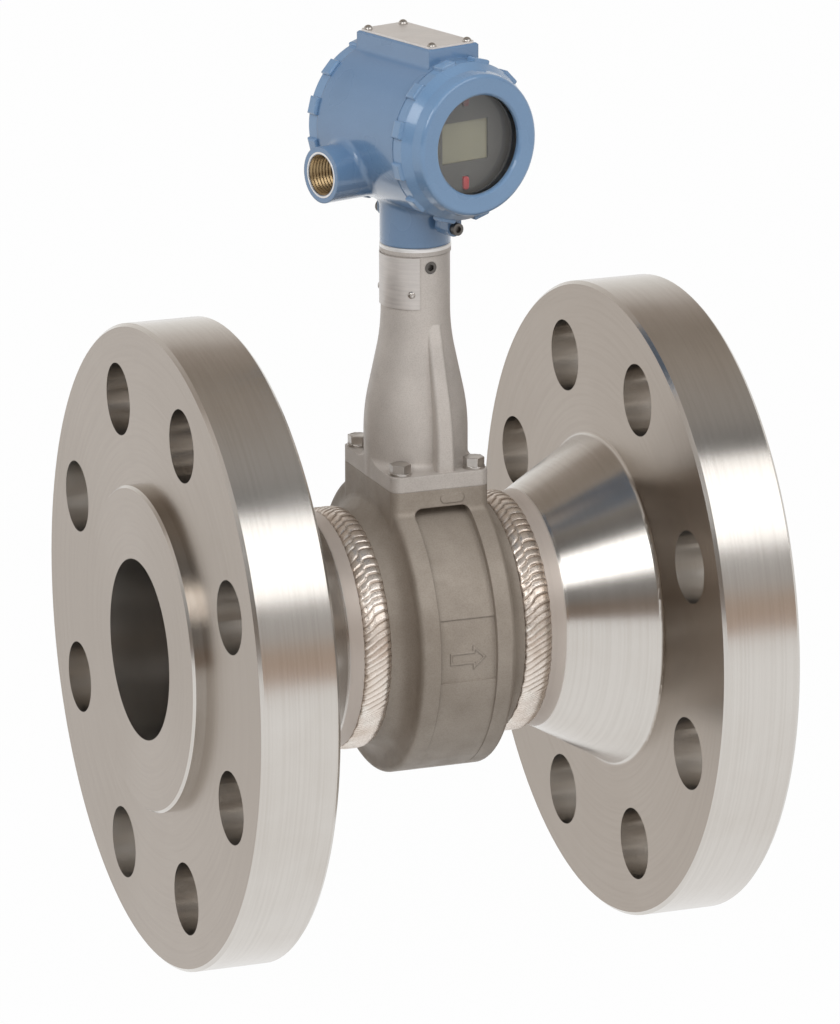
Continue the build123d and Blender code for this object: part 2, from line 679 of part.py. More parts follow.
def support_column():
    """One casting: base plate, round hollow column, two ribs and a machined collar."""
    rib = column_rib()
    base = pad_plate(PAD_TOP, COLUMN_BASE_TOP)
    column = cast_onto(base, turned(column_profile()), COLUMN_BASE_ROOT_FILLET)
    column += rib + mirror(rib, about=Plane.XZ)
    column -= column_cavity()
    hole = rod(COLUMN_BOLT_DIAMETER + 2 * CLEARANCE_HOLE_GAP, PAD_TOP, COLUMN_BASE_TOP)
    for place in column_bolt_places():
        column -= place * hole
    column = Pos(MIDDLE, 0, 0) * column
    screw_hole = rod(NECK_SCREW_DIAMETER + 2 * SCREW_GAP, 0, COLUMN_UPPER_DIAMETER)
    for angle in neck_screw_angles():
        column -= screw_hole.moved(column_ray(angle, NECK_SCREW_HEIGHT))
    outside = COLUMN_UPPER_DIAMETER / 2
    rivet_hole = rod(TAG_RIVET_DIAMETER + 2 * SCREW_GAP, outside - TAG_RIVET_GRIP, outside + OVERRUN)
    for angle in tag_rivet_angles():
        column -= rivet_hole.moved(column_ray(angle, TAG_RIVET_HEIGHT))
    return column


def column_bolts():
    """Four hex bolts with a round washer face under the head."""
    foot_top = COLUMN_BASE_TOP + COLUMN_BOLT_FOOT_HEIGHT
    bolt = rod(COLUMN_BOLT_DIAMETER, PAD_TOP - COLUMN_BOLT_GRIP + SCREW_GAP, COLUMN_BASE_TOP)
    bolt += rod(COLUMN_BOLT_FOOT_DIAMETER, COLUMN_BASE_TOP, foot_top)
    bolt += hexagon(COLUMN_BOLT_HEAD, foot_top, foot_top + COLUMN_BOLT_HEAD_HEIGHT)
    return [Pos(MIDDLE, 0, 0) * place * bolt for place in column_bolt_places()]


def tag_plate():
    """Thin plate bent round the column, with a hole near each end."""
    inner = COLUMN_UPPER_DIAMETER / 2
    outer = inner + TAG_THICKNESS
    strip = outline((inner, TAG_BOTTOM), (outer, TAG_BOTTOM), (outer, TAG_TOP), (inner, TAG_TOP))
    plate = revolve(Plane.XZ * strip, Axis.Z, TAG_ANGLE)
    start = TAG_CENTRE_ANGLE - TAG_ANGLE / 2 - 90
    plate = Pos(MIDDLE, 0, 0) * Rot(0, 0, start) * plate
    hole = rod(TAG_RIVET_DIAMETER + 2 * SCREW_GAP, 0, 2 * outer)
    for angle in tag_rivet_angles():
        plate -= hole.moved(column_ray(angle, TAG_RIVET_HEIGHT))
    return plate


def domed_screw(shank, head, head_height, grip):
    """A screw that points down, seated at height zero, whose head is a cap of a sphere."""
    sphere = ((head / 2) ** 2 + head_height**2) / (2 * head_height)
    ball = Pos(0, 0, head_height - sphere) * Sphere(sphere)
    return (ball & rod(head, 0, head_height)) + rod(shank, -grip, 0)


def tag_rivets():
    seat = COLUMN_UPPER_DIAMETER / 2 + TAG_THICKNESS
    rivet = domed_screw(TAG_RIVET_DIAMETER, TAG_RIVET_HEAD, TAG_RIVET_HEAD_HEIGHT, TAG_RIVET_GRIP)
    rivet = Pos(0, 0, seat) * rivet
    return [rivet.moved(column_ray(angle, TAG_RIVET_HEIGHT)) for angle in tag_rivet_angles()]


def neck_screws():
    """Headless socket screws whose tips stand in the groove of the housing's spigot."""
    tip = SPIGOT_DIAMETER / 2 - NECK_SCREW_GROOVE_DEPTH + SCREW_GAP
    top = COLUMN_UPPER_DIAMETER / 2 - NECK_SCREW_SINK
    screw = rod(NECK_SCREW_DIAMETER, tip, top)
    screw -= hexagon(NECK_SCREW_DIAMETER * SOCKET_SHARE, (tip + top) / 2, top)
    return [screw.moved(column_ray(angle, NECK_SCREW_HEIGHT)) for angle in neck_screw_angles()]


def neck_seal():
    ring_radius = SPIGOT_DIAMETER / 2 - NECK_SEAL_SECTION / 2 - SPIGOT_RUNNING_FIT
    return Pos(MIDDLE, 0, NECK_SEAL_HEIGHT) * torus(ring_radius, NECK_SEAL_SECTION)


def neck_and_spigot():
    """The housing's neck with the grooved spigot below it, drawn downwards from the barrel."""
    neck = NECK_DIAMETER / 2
    spigot = SPIGOT_DIAMETER / 2
    bottom = COLUMN_TOP - SPIGOT_LENGTH
    screw_floor = spigot - NECK_SCREW_GROOVE_DEPTH
    screw_half = NECK_SCREW_GROOVE_WIDTH / 2
    seal_floor = spigot - NECK_SEAL_SECTION - 2 * SPIGOT_RUNNING_FIT
    seal_half = NECK_SEAL_SECTION / 2 + SPIGOT_RUNNING_FIT
    solid = turned(
        outline(
            (0, bottom),
            (spigot, bottom),
            (spigot, NECK_SCREW_HEIGHT - screw_half),
            (screw_floor, NECK_SCREW_HEIGHT - screw_half),
            (screw_floor, NECK_SCREW_HEIGHT + screw_half),
            (spigot, NECK_SCREW_HEIGHT + screw_half),
            (spigot, NECK_SEAL_HEIGHT - seal_half),
            (seal_floor, NECK_SEAL_HEIGHT - seal_half),
            (seal_floor, NECK_SEAL_HEIGHT + seal_half),
            (spigot, NECK_SEAL_HEIGHT + seal_half),
            (spigot, COLUMN_TOP),
            (neck, COLUMN_TOP),
            (neck, NECK_JOIN_HEIGHT),
            (0, NECK_JOIN_HEIGHT),
        )
    )
    return Pos(MIDDLE, 0, 0) * solid


def upright_in_housing(piece):
    """Turns a piece drawn about z so that its z is the housing's own y."""
    return Rot(-90, 0, 0) * piece


def conduit_boss():
    """Round boss on the right of the housing; its mirror image stands on the left."""
    boss = Rot(0, 90, 0) * rod(BOSS_DIAMETER, 0, BOSS_REACH)
    return Pos(0, BOSS_HEIGHT, BOSS_PLACE) * boss


def conduit_hole():
    """Threaded mouth and the narrower way into the terminal side, which starts inside the barrel."""
    thread_end = BOSS_REACH - CONDUIT_THREAD_LENGTH
    hole = rod(CONDUIT_THREAD_DIAMETER, thread_end, BOSS_REACH)
    side = abs(BOSS_HEIGHT) + CONDUIT_PASSAGE_DIAMETER / 2
    start = math.sqrt((BARREL_MOUTH_DIAMETER / 2) ** 2 - side**2) - OVERRUN
    hole += rod(CONDUIT_PASSAGE_DIAMETER, start, thread_end)
    return Pos(0, BOSS_HEIGHT, BOSS_PLACE) * Rot(0, 90, 0) * hole


def plate_pad():
    """Raised block on top of the barrel that carries the nameplate."""
    length = PLATE_PAD_FRONT - PLATE_PAD_BACK
    block = Box(PLATE_PAD_WIDTH, PLATE_PAD_TOP, length)
    block = chamfer(block.faces().sort_by(Axis.Y)[-1].edges(), PLATE_PAD_CHAMFER)
    return Pos(0, PLATE_PAD_TOP / 2, (PLATE_PAD_FRONT + PLATE_PAD_BACK) / 2) * block


def lock_lug_spans():
    """Lowest and highest place along the barrel of the rear and the front lock lug."""
    front = BARREL_FRONT - LOCK_LUG_INSET
    back = BARREL_BACK + LOCK_LUG_INSET
    return ((back, back + LOCK_LUG_LENGTH), (front - LOCK_LUG_LENGTH, front))


def lock_lug(start, end):
    """Small lug under the barrel for a cover's lock screw, with a web up to the barrel."""
    web_height = LOCK_LUG_DROP - BARREL_DIAMETER / 2 + OVERRUN
    web = Box(LOCK_LUG_DIAMETER, web_height, end - start)
    web = Pos(0, web_height / 2 - LOCK_LUG_DROP, (start + end) / 2) * web
    return web + Pos(0, -LOCK_LUG_DROP, 0) * rod(LOCK_LUG_DIAMETER, start, end)


def nameplate_screw_places():
    """Places in the housing's frame, on the top of the plate pad."""
    middle = (PLATE_PAD_FRONT + PLATE_PAD_BACK) / 2
    half_x = NAMEPLATE_WIDTH / 2 - NAMEPLATE_SCREW_INSET_X
    half_z = NAMEPLATE_LENGTH / 2 - NAMEPLATE_SCREW_INSET_Z
    corners = [(x, z) for x in (-half_x, half_x) for z in (middle - half_z, middle + half_z)]
    return [Pos(x, PLATE_PAD_TOP, z) for x, z in corners]


def electronics_housing():
    """One casting: barrel with a wall between its two chambers, neck, bosses, pad and lugs."""
    housing = rod(BARREL_DIAMETER, BARREL_BACK, BARREL_FRONT)
    housing = cast_onto(housing, plate_pad(), PLATE_PAD_ROOT_FILLET, Axis.Z)
    neck = HOUSING_PLANE.to_local_coords(neck_and_spigot())
    housing = cast_onto(housing, neck, NECK_ROOT_FILLET)
    boss = conduit_boss()
    housing = cast_onto(housing, boss, BOSS_ROOT_FILLET)
    housing = cast_onto(housing, mirror(boss, about=Plane.YZ), BOSS_ROOT_FILLET)
    for start, end in lock_lug_spans():
        housing += lock_lug(start, end)
    housing -= rod(BARREL_MOUTH_DIAMETER, BARREL_BACK, WALL_BACK)
    housing -= rod(BARREL_MOUTH_DIAMETER, WALL_FRONT, BARREL_FRONT)
    hole = conduit_hole()
    housing -= hole
    housing -= mirror(hole, about=Plane.YZ)
    housing -= lead_passage()
    for place in nameplate_screw_places():
        housing -= place * upright_in_housing(screw_hole(NAMEPLATE_SCREW_DIAMETER, NAMEPLATE_SCREW_GRIP))
    for place in lock_screw_places():
        housing -= place * screw_hole(LOCK_SCREW_DIAMETER, LOCK_SCREW_GRIP)
    for place in module_screw_places():
        housing -= place * screw_hole(MODULE_SCREW_DIAMETER, WALL_FRONT - WALL_BACK)
    for place in block_screw_places() + earth_screw_places():
        housing -= place * screw_hole(TERMINAL_SCREW_DIAMETER, WALL_FRONT - WALL_BACK)
    return in_housing(housing)


def screw_hole(diameter, depth):
    """A hole that goes down from height zero."""
    return rod(diameter + 2 * SCREW_GAP, -depth, 0)


def lead_passage():
    """The way for the sensor's lead: up the neck, forward and into the electronics side."""
    bottom = -HOUSING_SEAT_TO_AXIS - SPIGOT_LENGTH
    shaft = upright_in_housing(rod(NECK_PASSAGE_DIAMETER, bottom, NECK_CHANNEL_TOP))
    length = NECK_WINDOW_FRONT
    channel = Box(NECK_WINDOW_WIDTH, NECK_CHANNEL_HEIGHT, length)
    channel = Pos(0, NECK_CHANNEL_TOP - NECK_CHANNEL_HEIGHT / 2, length / 2) * channel
    window_length = NECK_WINDOW_FRONT - WALL_FRONT - OVERRUN
    window_bottom = NECK_CHANNEL_TOP - NECK_CHANNEL_HEIGHT
    window_top = OVERRUN - BARREL_MOUTH_DIAMETER / 2
    window = Box(NECK_WINDOW_WIDTH, window_top - window_bottom, window_length)
    window = Pos(0, (window_top + window_bottom) / 2, NECK_WINDOW_FRONT - window_length / 2) * window
    return shaft + channel + window


def lock_screw_places():
    """Seats of the two lock screws, whose heads face the rear and the front cover."""
    (back, _), (_, front) = lock_lug_spans()
    return (Pos(0, -LOCK_LUG_DROP, back) * Rot(0, 180, 0), Pos(0, -LOCK_LUG_DROP, front))


def module_screw_places():
    """Screws of the electronics module, on the front of the wall."""
    radius = MODULE_DIAMETER / 2 - MODULE_SCREW_INSET
    turns = [360 * index / MODULE_SCREWS for index in range(MODULE_SCREWS)]
    return [Rot(0, 0, turn) * Pos(radius, 0, WALL_FRONT) for turn in turns]


def rear_facing(x, y):
    """A place on the back of the wall, with z pointing into the terminal side."""
    return Pos(x, y, WALL_BACK) * Rot(0, 180, 0)


def block_screw_places():
    half = TERMINAL_WIDTH / 2 - BLOCK_SCREW_INSET
    return [rear_facing(x, TERMINAL_PLACE) for x in (-half, half)]


def earth_screw_places():
    return [rear_facing(EARTH_SCREW_X, EARTH_SCREW_Y)]


def cover_seal(seat, outward):
    """O-ring in the groove next to a cover's rim."""
    middle = seat - outward * COVER_GROOVE_WIDTH / 2
    return in_housing(Pos(0, 0, middle) * torus(COVER_SEAL_RADIUS, COVER_SEAL_SECTION))


def cover_skirt():
    """Points of the threaded skirt and its seal groove, below the rim that seats at zero."""
    return (
        (COVER_INNER_RADIUS, -COVER_SKIRT_LENGTH),
        (COVER_SKIRT_RADIUS, -COVER_SKIRT_LENGTH),
        (COVER_SKIRT_RADIUS, -COVER_GROOVE_WIDTH),
        (COVER_GROOVE_RADIUS, -COVER_GROOVE_WIDTH),
        (COVER_GROOVE_RADIUS, 0),
        (COVER_RIM_DIAMETER / 2, 0),
    )


def with_lugs(cover):
    """Adds the wrench lugs round a cover's rim."""
    reach = COVER_RIM_DIAMETER / 2 + COVER_LUG_HEIGHT
    root = COVER_RIM_DIAMETER / 2 - COVER_LUG_HEIGHT
    lug = Box(reach - root, COVER_LUG_WIDTH, COVER_RIM_THICKNESS)
    lug = fillet(lug.faces().sort_by(Axis.X)[-1].edges(), COVER_LUG_FILLET)
    lug = Pos((reach + root) / 2, 0, COVER_RIM_THICKNESS / 2) * lug
    for index in range(COVER_LUGS):
        cover += Rot(0, 0, 360 * (index + 0.5) / COVER_LUGS) * lug
    return cover


def display_cover():
    """Lugged cover that narrows to a bezel round the window, with the glass seat inside."""
    rim = COVER_RIM_DIAMETER / 2
    bezel = BEZEL_DIAMETER / 2
    opening = WINDOW_OPENING_DIAMETER / 2
    glass_seat = GLASS_DIAMETER / 2 + GLASS_GAP
    lip = BEZEL_HEIGHT - BEZEL_LIP
    groove = glass_seat + RETAINER_GROOVE_DEPTH
    groove_top = GLASS_BOTTOM
    groove_bottom = groove_top - RETAINER_THICKNESS - 2 * RETAINER_GAP
    seat_end = groove_bottom - RETAINER_THICKNESS
    face = outline(
        *cover_skirt(),
        (rim, COVER_RIM_THICKNESS),
        (BEZEL_SHOULDER_DIAMETER / 2, BEZEL_SHOULDER),
        (bezel, BEZEL_HEIGHT),
        (opening, BEZEL_HEIGHT),
        (opening, lip),
        (glass_seat, lip),
        (glass_seat, groove_top),
        (groove, groove_top),
        (groove, groove_bottom),
        (glass_seat, groove_bottom),
        (glass_seat, seat_end),
        (COVER_INNER_RADIUS, seat_end),
    )
    face = fillet(corner(face, bezel, BEZEL_HEIGHT), BEZEL_EDGE_FILLET)
    face = chamfer(corner(face, opening, BEZEL_HEIGHT), WINDOW_CHAMFER)
    cover = with_lugs(turned(face))
    return in_housing(Pos(0, 0, BARREL_FRONT) * cover)


def display_cover_seal():
    return cover_seal(BARREL_FRONT, 1)


def ring(inner_diameter, outer_diameter, bottom, top):
    """A flat ring about the upright axis."""
    return rod(outer_diameter, bottom, top) - rod(inner_diameter, bottom, top)


def window_gasket():
    gasket = ring(GLASS_RING_INNER_DIAMETER, GLASS_DIAMETER, GLASS_TOP, GLASS_TOP + GASKET_THICKNESS)
    return in_housing(Pos(0, 0, BARREL_FRONT) * gasket)


def display_window():
    """Round tempered glass."""
    return in_housing(Pos(0, 0, BARREL_FRONT) * rod(GLASS_DIAMETER, GLASS_BOTTOM, GLASS_TOP))


def window_retainer():
    """Spring ring in a groove behind the glass."""
    top = GLASS_BOTTOM - RETAINER_GAP
    outer = GLASS_DIAMETER + 2 * (GLASS_GAP + RETAINER_GROOVE_DEPTH - RETAINER_GAP)
    clip = ring(GLASS_RING_INNER_DIAMETER, outer, top - RETAINER_THICKNESS, top)
    return in_housing(Pos(0, 0, BARREL_FRONT) * clip)


def rear_cover():
    """Blind lugged cover of the terminal side, with a low rim round its flat face."""
    rim = COVER_RIM_DIAMETER / 2
    shoulder = rim - (REAR_COVER_HEIGHT - COVER_RIM_THICKNESS)
    face_radius = rim - REAR_COVER_FACE_STEP
    inside = REAR_COVER_HEIGHT - REAR_COVER_WALL
    sunk = REAR_COVER_HEIGHT - REAR_COVER_RIM_STEP
    face = outline(
        *cover_skirt(),
        (rim, COVER_RIM_THICKNESS),
        (shoulder, REAR_COVER_HEIGHT),
        (face_radius + REAR_COVER_RIM_STEP, REAR_COVER_HEIGHT),
        (face_radius, sunk),
        (0, sunk),
        (0, inside),
        (COVER_INNER_RADIUS, inside),
    )
    cover = with_lugs(turned(face))
    return in_housing(Pos(0, 0, BARREL_BACK) * Rot(0, 180, 0) * cover)


def rear_cover_seal():
    return cover_seal(BARREL_BACK, -1)


def cover_lock_screws():
    """Socket-head screws in the lugs under the two covers."""
    screw = rod(LOCK_SCREW_DIAMETER, -LOCK_SCREW_GRIP + SCREW_GAP, 0)
    screw += rod(LOCK_SCREW_HEAD, 0, LOCK_SCREW_HEAD_HEIGHT)
    screw -= hexagon(LOCK_SCREW_HEAD * SOCKET_SHARE, LOCK_SCREW_HEAD_HEIGHT / 2, LOCK_SCREW_HEAD_HEIGHT)
    return [in_housing(place * screw) for place in lock_screw_places()]


def conduit_plug():
    """Pipe plug with a hex socket in the right conduit boss."""
    top = BOSS_REACH + PLUG_RISE
    plug = rod(CONDUIT_THREAD_DIAMETER - 2 * SCREW_GAP, BOSS_REACH - CONDUIT_THREAD_LENGTH, top)
    plug -= hexagon(PLUG_SOCKET, top - PLUG_SOCKET_DEPTH, top)
    return in_housing(Pos(0, BOSS_HEIGHT, BOSS_PLACE) * Rot(0, 90, 0) * plug)


def electronics_module():
    """Moulded round puck that sits on the wall, with counterbored screw holes."""
    module = rod(MODULE_DIAMETER, WALL_FRONT, MODULE_TOP)
    seat = MODULE_SCREW_SEAT
    head_gap = MODULE_SCREW_HEAD + 2 * CLEARANCE_HOLE_GAP
    hole = rod(MODULE_SCREW_DIAMETER + 2 * CLEARANCE_HOLE_GAP, 0, seat - WALL_FRONT)
    hole += rod(head_gap, seat - WALL_FRONT, MODULE_TOP - WALL_FRONT)
    for place in module_screw_places():
        module -= place * hole
    return in_housing(module)


def module_screws():
    """Pan-head screws through the electronics module into the wall."""
    seat = MODULE_SCREW_SEAT - WALL_FRONT
    screw = rod(MODULE_SCREW_DIAMETER, WALL_BACK - WALL_FRONT, seat)
    screw += rod(MODULE_SCREW_HEAD, seat, seat + MODULE_SCREW_HEAD_HEIGHT)
    return [in_housing(place * screw) for place in module_screw_places()]


def slab(width, height, bottom, top):
    """A block about the housing's axis between two places along it."""
    return Pos(0, 0, (bottom + top) / 2) * Box(width, height, top - bottom)


def jumper_places():
    return (Pos(0, -JUMPER_PLACE, 0), Pos(0, JUMPER_PLACE, 0))


def display_module():
    """Dark moulded face with an opening for the display and two jumper seats."""
    lcd_top = FACEPLATE_TOP - LCD_RECESS
    wide = LCD_VIEW_WIDTH + 2 * LCD_BORDER + 2 * LCD_GAP
    high = LCD_VIEW_HEIGHT + 2 * LCD_BORDER + 2 * LCD_GAP
    module = rod(MODULE_DIAMETER, MODULE_TOP, FACEPLATE_TOP)
    module -= slab(wide, high, MODULE_TOP, lcd_top)
    module -= slab(LCD_VIEW_WIDTH, LCD_VIEW_HEIGHT, lcd_top, FACEPLATE_TOP)
    seat = FACEPLATE_TOP + JUMPER_RISE - JUMPER_HEIGHT
    pocket = slab(JUMPER_WIDTH + 2 * LCD_GAP, JUMPER_LENGTH + 2 * LCD_GAP, seat, FACEPLATE_TOP)
    for place in jumper_places():
        module -= place * pocket
    return in_housing(module)


def lcd_panel():
    wide = LCD_VIEW_WIDTH + 2 * LCD_BORDER
    high = LCD_VIEW_HEIGHT + 2 * LCD_BORDER
    return in_housing(slab(wide, high, MODULE_TOP, FACEPLATE_TOP - LCD_RECESS))


def display_jumpers():
    """Small plug-in blocks that set the options of the display."""
    top = FACEPLATE_TOP + JUMPER_RISE
    jumper = slab(JUMPER_WIDTH, JUMPER_LENGTH, top - JUMPER_HEIGHT, top)
    return [in_housing(place * jumper) for place in jumper_places()]


def terminal_screw_places():
    """Seats of the wiring screws on the outer face of the terminal block."""
    reach = TERMINAL_SCREW_PITCH * (TERMINAL_SCREWS - 1) / 2
    xs = [TERMINAL_SCREW_PITCH * index - reach for index in range(TERMINAL_SCREWS)]
    return [rear_facing(x, TERMINAL_PLACE) * Pos(0, 0, TERMINAL_DEPTH) for x in xs]


def terminal_block():
    """Moulded block on the back of the wall, lower at its two screwed ends."""
    block = slab(TERMINAL_WIDTH, TERMINAL_HEIGHT, 0, TERMINAL_DEPTH)
    ear = slab(TERMINAL_WIDTH, TERMINAL_HEIGHT, TERMINAL_DEPTH / 2, TERMINAL_DEPTH)
    raised_width = TERMINAL_WIDTH - 2 * BLOCK_SCREW_INSET - TERMINAL_SCREW_HEAD - OVERRUN
    ear -= slab(raised_width, TERMINAL_HEIGHT, 0, TERMINAL_DEPTH)
    block = rear_facing(0, TERMINAL_PLACE) * (block - ear)
    for place in terminal_screw_places():
        block -= place * screw_hole(TERMINAL_SCREW_DIAMETER, TERMINAL_SCREW_GRIP)
    for place in block_screw_places():
        block -= place * rod(TERMINAL_SCREW_DIAMETER + 2 * CLEARANCE_HOLE_GAP, 0, TERMINAL_DEPTH)
    return in_housing(block)


def pan_screw(grip):
    """Pan-head wiring screw, seated at height zero and pointing down."""
    screw = rod(TERMINAL_SCREW_DIAMETER, SCREW_GAP - grip, 0)
    return screw + rod(TERMINAL_SCREW_HEAD, 0, TERMINAL_SCREW_HEAD_HEIGHT)


def terminal_screws():
    screw = pan_screw(TERMINAL_SCREW_GRIP)
    return [in_housing(place * screw) for place in terminal_screw_places()]


def block_screws():
    """Screws that hold the terminal block's low ends to the wall."""
    screw = Pos(0, 0, TERMINAL_DEPTH / 2) * pan_screw(TERMINAL_DEPTH / 2 + WALL_FRONT - WALL_BACK)
    return [in_housing(place * screw) for place in block_screw_places()]


def earth_screw():
    screw = pan_screw(WALL_FRONT - WALL_BACK)
    return [in_housing(place * screw) for place in earth_screw_places()]


def nameplate():
    """Flat plate with clipped corners and four screw holes."""
    plate = Box(NAMEPLATE_WIDTH, NAMEPLATE_THICKNESS, NAMEPLATE_LENGTH)
    plate = chamfer(plate.edges().filter_by(Axis.Y), NAMEPLATE_CORNER)
    middle = (PLATE_PAD_FRONT + PLATE_PAD_BACK) / 2
    plate = Pos(0, PLATE_PAD_TOP + NAMEPLATE_THICKNESS / 2, middle) * plate
    hole = rod(NAMEPLATE_SCREW_DIAMETER + 2 * SCREW_GAP, 0, NAMEPLATE_THICKNESS)
    for place in nameplate_screw_places():
        plate -= place * upright_in_housing(hole)
    return in_housing(plate)


def nameplate_screws():
    """Round-head drive screws at the plate's corners."""
    screw = domed_screw(
        NAMEPLATE_SCREW_DIAMETER,
        NAMEPLATE_SCREW_HEAD,
        NAMEPLATE_SCREW_HEAD_HEIGHT,
        NAMEPLATE_SCREW_GRIP - SCREW_GAP,
    )
    seat = Pos(0, NAMEPLATE_THICKNESS, 0)
    return [in_housing(place * seat * upright_in_housing(screw)) for place in nameplate_screw_places()]


PARTS = {
    "inlet_flange": inlet_flange(),
    "outlet_flange": to_outlet(inlet_flange()),
    "inlet_weld": inlet_weld(),
    "outlet_weld": to_outlet(inlet_weld()),
    "meter_body": meter_body(),
    "sensor": sensor(),
    "sensor_nut": sensor_nut(),
    "support_column": support_column(),
    "column_bolts": column_bolts(),
    "tag_plate": tag_plate(),
    "tag_rivets": tag_rivets(),
    "neck_screws": neck_screws(),
    "neck_seal": neck_seal(),
    "electronics_housing": electronics_housing(),
    "nameplate": nameplate(),
    "nameplate_screws": nameplate_screws(),
    "display_cover": display_cover(),
    "display_cover_seal": display_cover_seal(),
    "window_gasket": window_gasket(),
    "display_window": display_window(),
    "window_retainer": window_retainer(),
    "rear_cover": rear_cover(),
    "rear_cover_seal": rear_cover_seal(),
    "cover_lock_screws": cover_lock_screws(),
    "conduit_plug": conduit_plug(),
    "electronics_module": electronics_module(),
    "module_screws": module_screws(),
    "display_module": display_module(),
    "lcd_panel": lcd_panel(),
    "display_jumpers": display_jumpers(),
    "terminal_block": terminal_block(),
    "terminal_screws": terminal_screws(),
    "block_screws": block_screws(),
    "earth_screw": earth_screw(),
}

os.makedirs("parts", exist_ok=True)
for name, piece in PARTS.items():
    solids = piece if isinstance(piece, list) else [piece]
    export_step(Compound(children=solids), f"parts/{name}.step")
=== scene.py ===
import math

import bmesh
import bpy
from mathutils import Matrix, Vector


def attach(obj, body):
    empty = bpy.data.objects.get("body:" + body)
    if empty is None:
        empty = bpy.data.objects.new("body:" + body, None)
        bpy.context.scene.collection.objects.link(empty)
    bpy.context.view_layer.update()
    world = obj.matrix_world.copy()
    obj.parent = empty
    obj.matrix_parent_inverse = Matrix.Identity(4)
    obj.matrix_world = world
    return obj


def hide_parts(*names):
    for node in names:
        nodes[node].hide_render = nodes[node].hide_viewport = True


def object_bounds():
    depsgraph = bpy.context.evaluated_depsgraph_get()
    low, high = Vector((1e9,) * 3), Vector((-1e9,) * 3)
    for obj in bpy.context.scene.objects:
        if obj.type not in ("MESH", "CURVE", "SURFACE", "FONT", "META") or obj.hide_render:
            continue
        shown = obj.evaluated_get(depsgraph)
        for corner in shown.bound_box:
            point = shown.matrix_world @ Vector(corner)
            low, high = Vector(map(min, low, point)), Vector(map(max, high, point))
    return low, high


# Vortex flow meter: a cast body welded between two weld-neck flanges, and above it a cast
# column with a turnable blue electronics housing. All sizes below are in metres.
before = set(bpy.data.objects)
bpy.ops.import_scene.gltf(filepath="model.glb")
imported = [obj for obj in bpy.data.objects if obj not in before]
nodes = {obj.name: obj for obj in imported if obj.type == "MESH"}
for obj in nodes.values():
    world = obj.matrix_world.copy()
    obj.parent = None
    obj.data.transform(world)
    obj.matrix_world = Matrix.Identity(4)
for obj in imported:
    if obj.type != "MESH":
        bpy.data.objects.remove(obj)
cad_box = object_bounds()


# Flanges
# Two weld-neck flanges of stainless steel, forged, then turned all over in a lathe and drilled
# for eight studs. The tool leaves fine rings round the pipe's axis on every turned surface.
MIDDLE = 0.141
WELD_OFFSET = 0.041
BRUSHED_REACH = 0.0142
BRUSHED_FADE = 0.0004
WHITE = (1.0, 1.0, 1.0)


def new_material(name, metallic=0.0):
    """A material with its node tree and its shader, which gets its looks by links."""
    material = bpy.data.materials.new(name)
    material.use_nodes = True
    shader = material.node_tree.nodes["Principled BSDF"]
    shader.inputs["Metallic"].default_value = metallic
    return material, material.node_tree, shader


def put(tree, kind, inputs=None, **settings):
    """Adds a node. An input is a plain value, or an output socket that is linked to it."""
    made = tree.nodes.new("ShaderNode" + kind)
    for name, value in settings.items():
        setattr(made, name, value)
    for key, value in (inputs or {}).items():
        if isinstance(value, bpy.types.NodeSocket):
            tree.links.new(value, made.inputs[key])
        else:
            made.inputs[key].default_value = value
    return made


def object_place(tree):
    return put(tree, "TexCoord").outputs["Object"]


def split(tree, vector):
    """The X, Y and Z of a vector."""
    return put(tree, "SeparateXYZ", {"Vector": vector}).outputs


def maths(tree, operation, *values, clamp=False):
    """One step of arithmetic on numbers and sockets."""
    inputs = dict(enumerate(values))
    return put(tree, "Math", inputs, operation=operation, use_clamp=clamp).outputs["Value"]


def away_from(tree, value, middle):
    """How far a value lies from the middle, on either side."""
    return maths(tree, "ABSOLUTE", maths(tree, "SUBTRACT", value, middle))


def noise(tree, place, scale, detail=3.0, roughness=0.5, stretch=None):
    """Noise between 0 and 1 on a place, which may be stretched first."""
    if stretch:
        place = put(tree, "Mapping", {"Vector": place, "Scale": stretch}).outputs["Vector"]
    inputs = {"Vector": place, "Scale": scale, "Detail": detail, "Roughness": roughness}
    return put(tree, "TexNoise", inputs).outputs["Fac"]


def between(tree, value, low, high, start=0.3, end=0.7):
    """Runs from low to high while the value goes from start to end."""
    inputs = {"Value": value, "From Min": start, "From Max": end, "To Min": low, "To Max": high}
    return put(tree, "MapRange", inputs).outputs["Result"]


def tones(tree, value, *stops):
    """A smooth colour ramp through (place, colour) stops."""
    ramp = put(tree, "ValToRGB", {"Fac": value})
    ramp.color_ramp.interpolation = "EASE"
    elements = ramp.color_ramp.elements
    while len(elements) < len(stops):
        elements.new(0.5)
    for element, (place, colour) in zip(elements, stops):
        element.position = place
        element.color = (*colour, 1)
    return ramp.outputs["Color"]


def blend(tree, share, colour, other, mode="MIX"):
    """Mixes two colours, each a plain colour or a socket, at the Mix node's inputs 6 and 7."""
    inputs = {0: share}
    for key, value in ((6, colour), (7, other)):
        if not isinstance(value, bpy.types.NodeSocket):
            value = (*value, 1)
        inputs[key] = value
    return put(tree, "Mix", inputs, data_type="RGBA", blend_type=mode).outputs[2]


def shaded(tree, colour, tone):
    """A colour made darker or lighter by a tone laid over it."""
    return blend(tree, 1.0, colour, tone, "MULTIPLY")


def bump(tree, height, strength, distance, under=None):
    """A bump normal from a height, laid over another normal where one is given."""
    inputs = {"Height": height, "Strength": strength, "Distance": distance}
    if under:
        inputs["Normal"] = under
    return put(tree, "Bump", inputs).outputs["Normal"]


def link_looks(tree, shader, colour, roughness, normal=None):
    """Links a colour, a roughness and, where there is one, a normal to the shader."""
    tree.links.new(colour, shader.inputs["Base Color"])
    tree.links.new(roughness, shader.inputs["Roughness"])
    if normal:
        tree.links.new(normal, shader.inputs["Normal"])


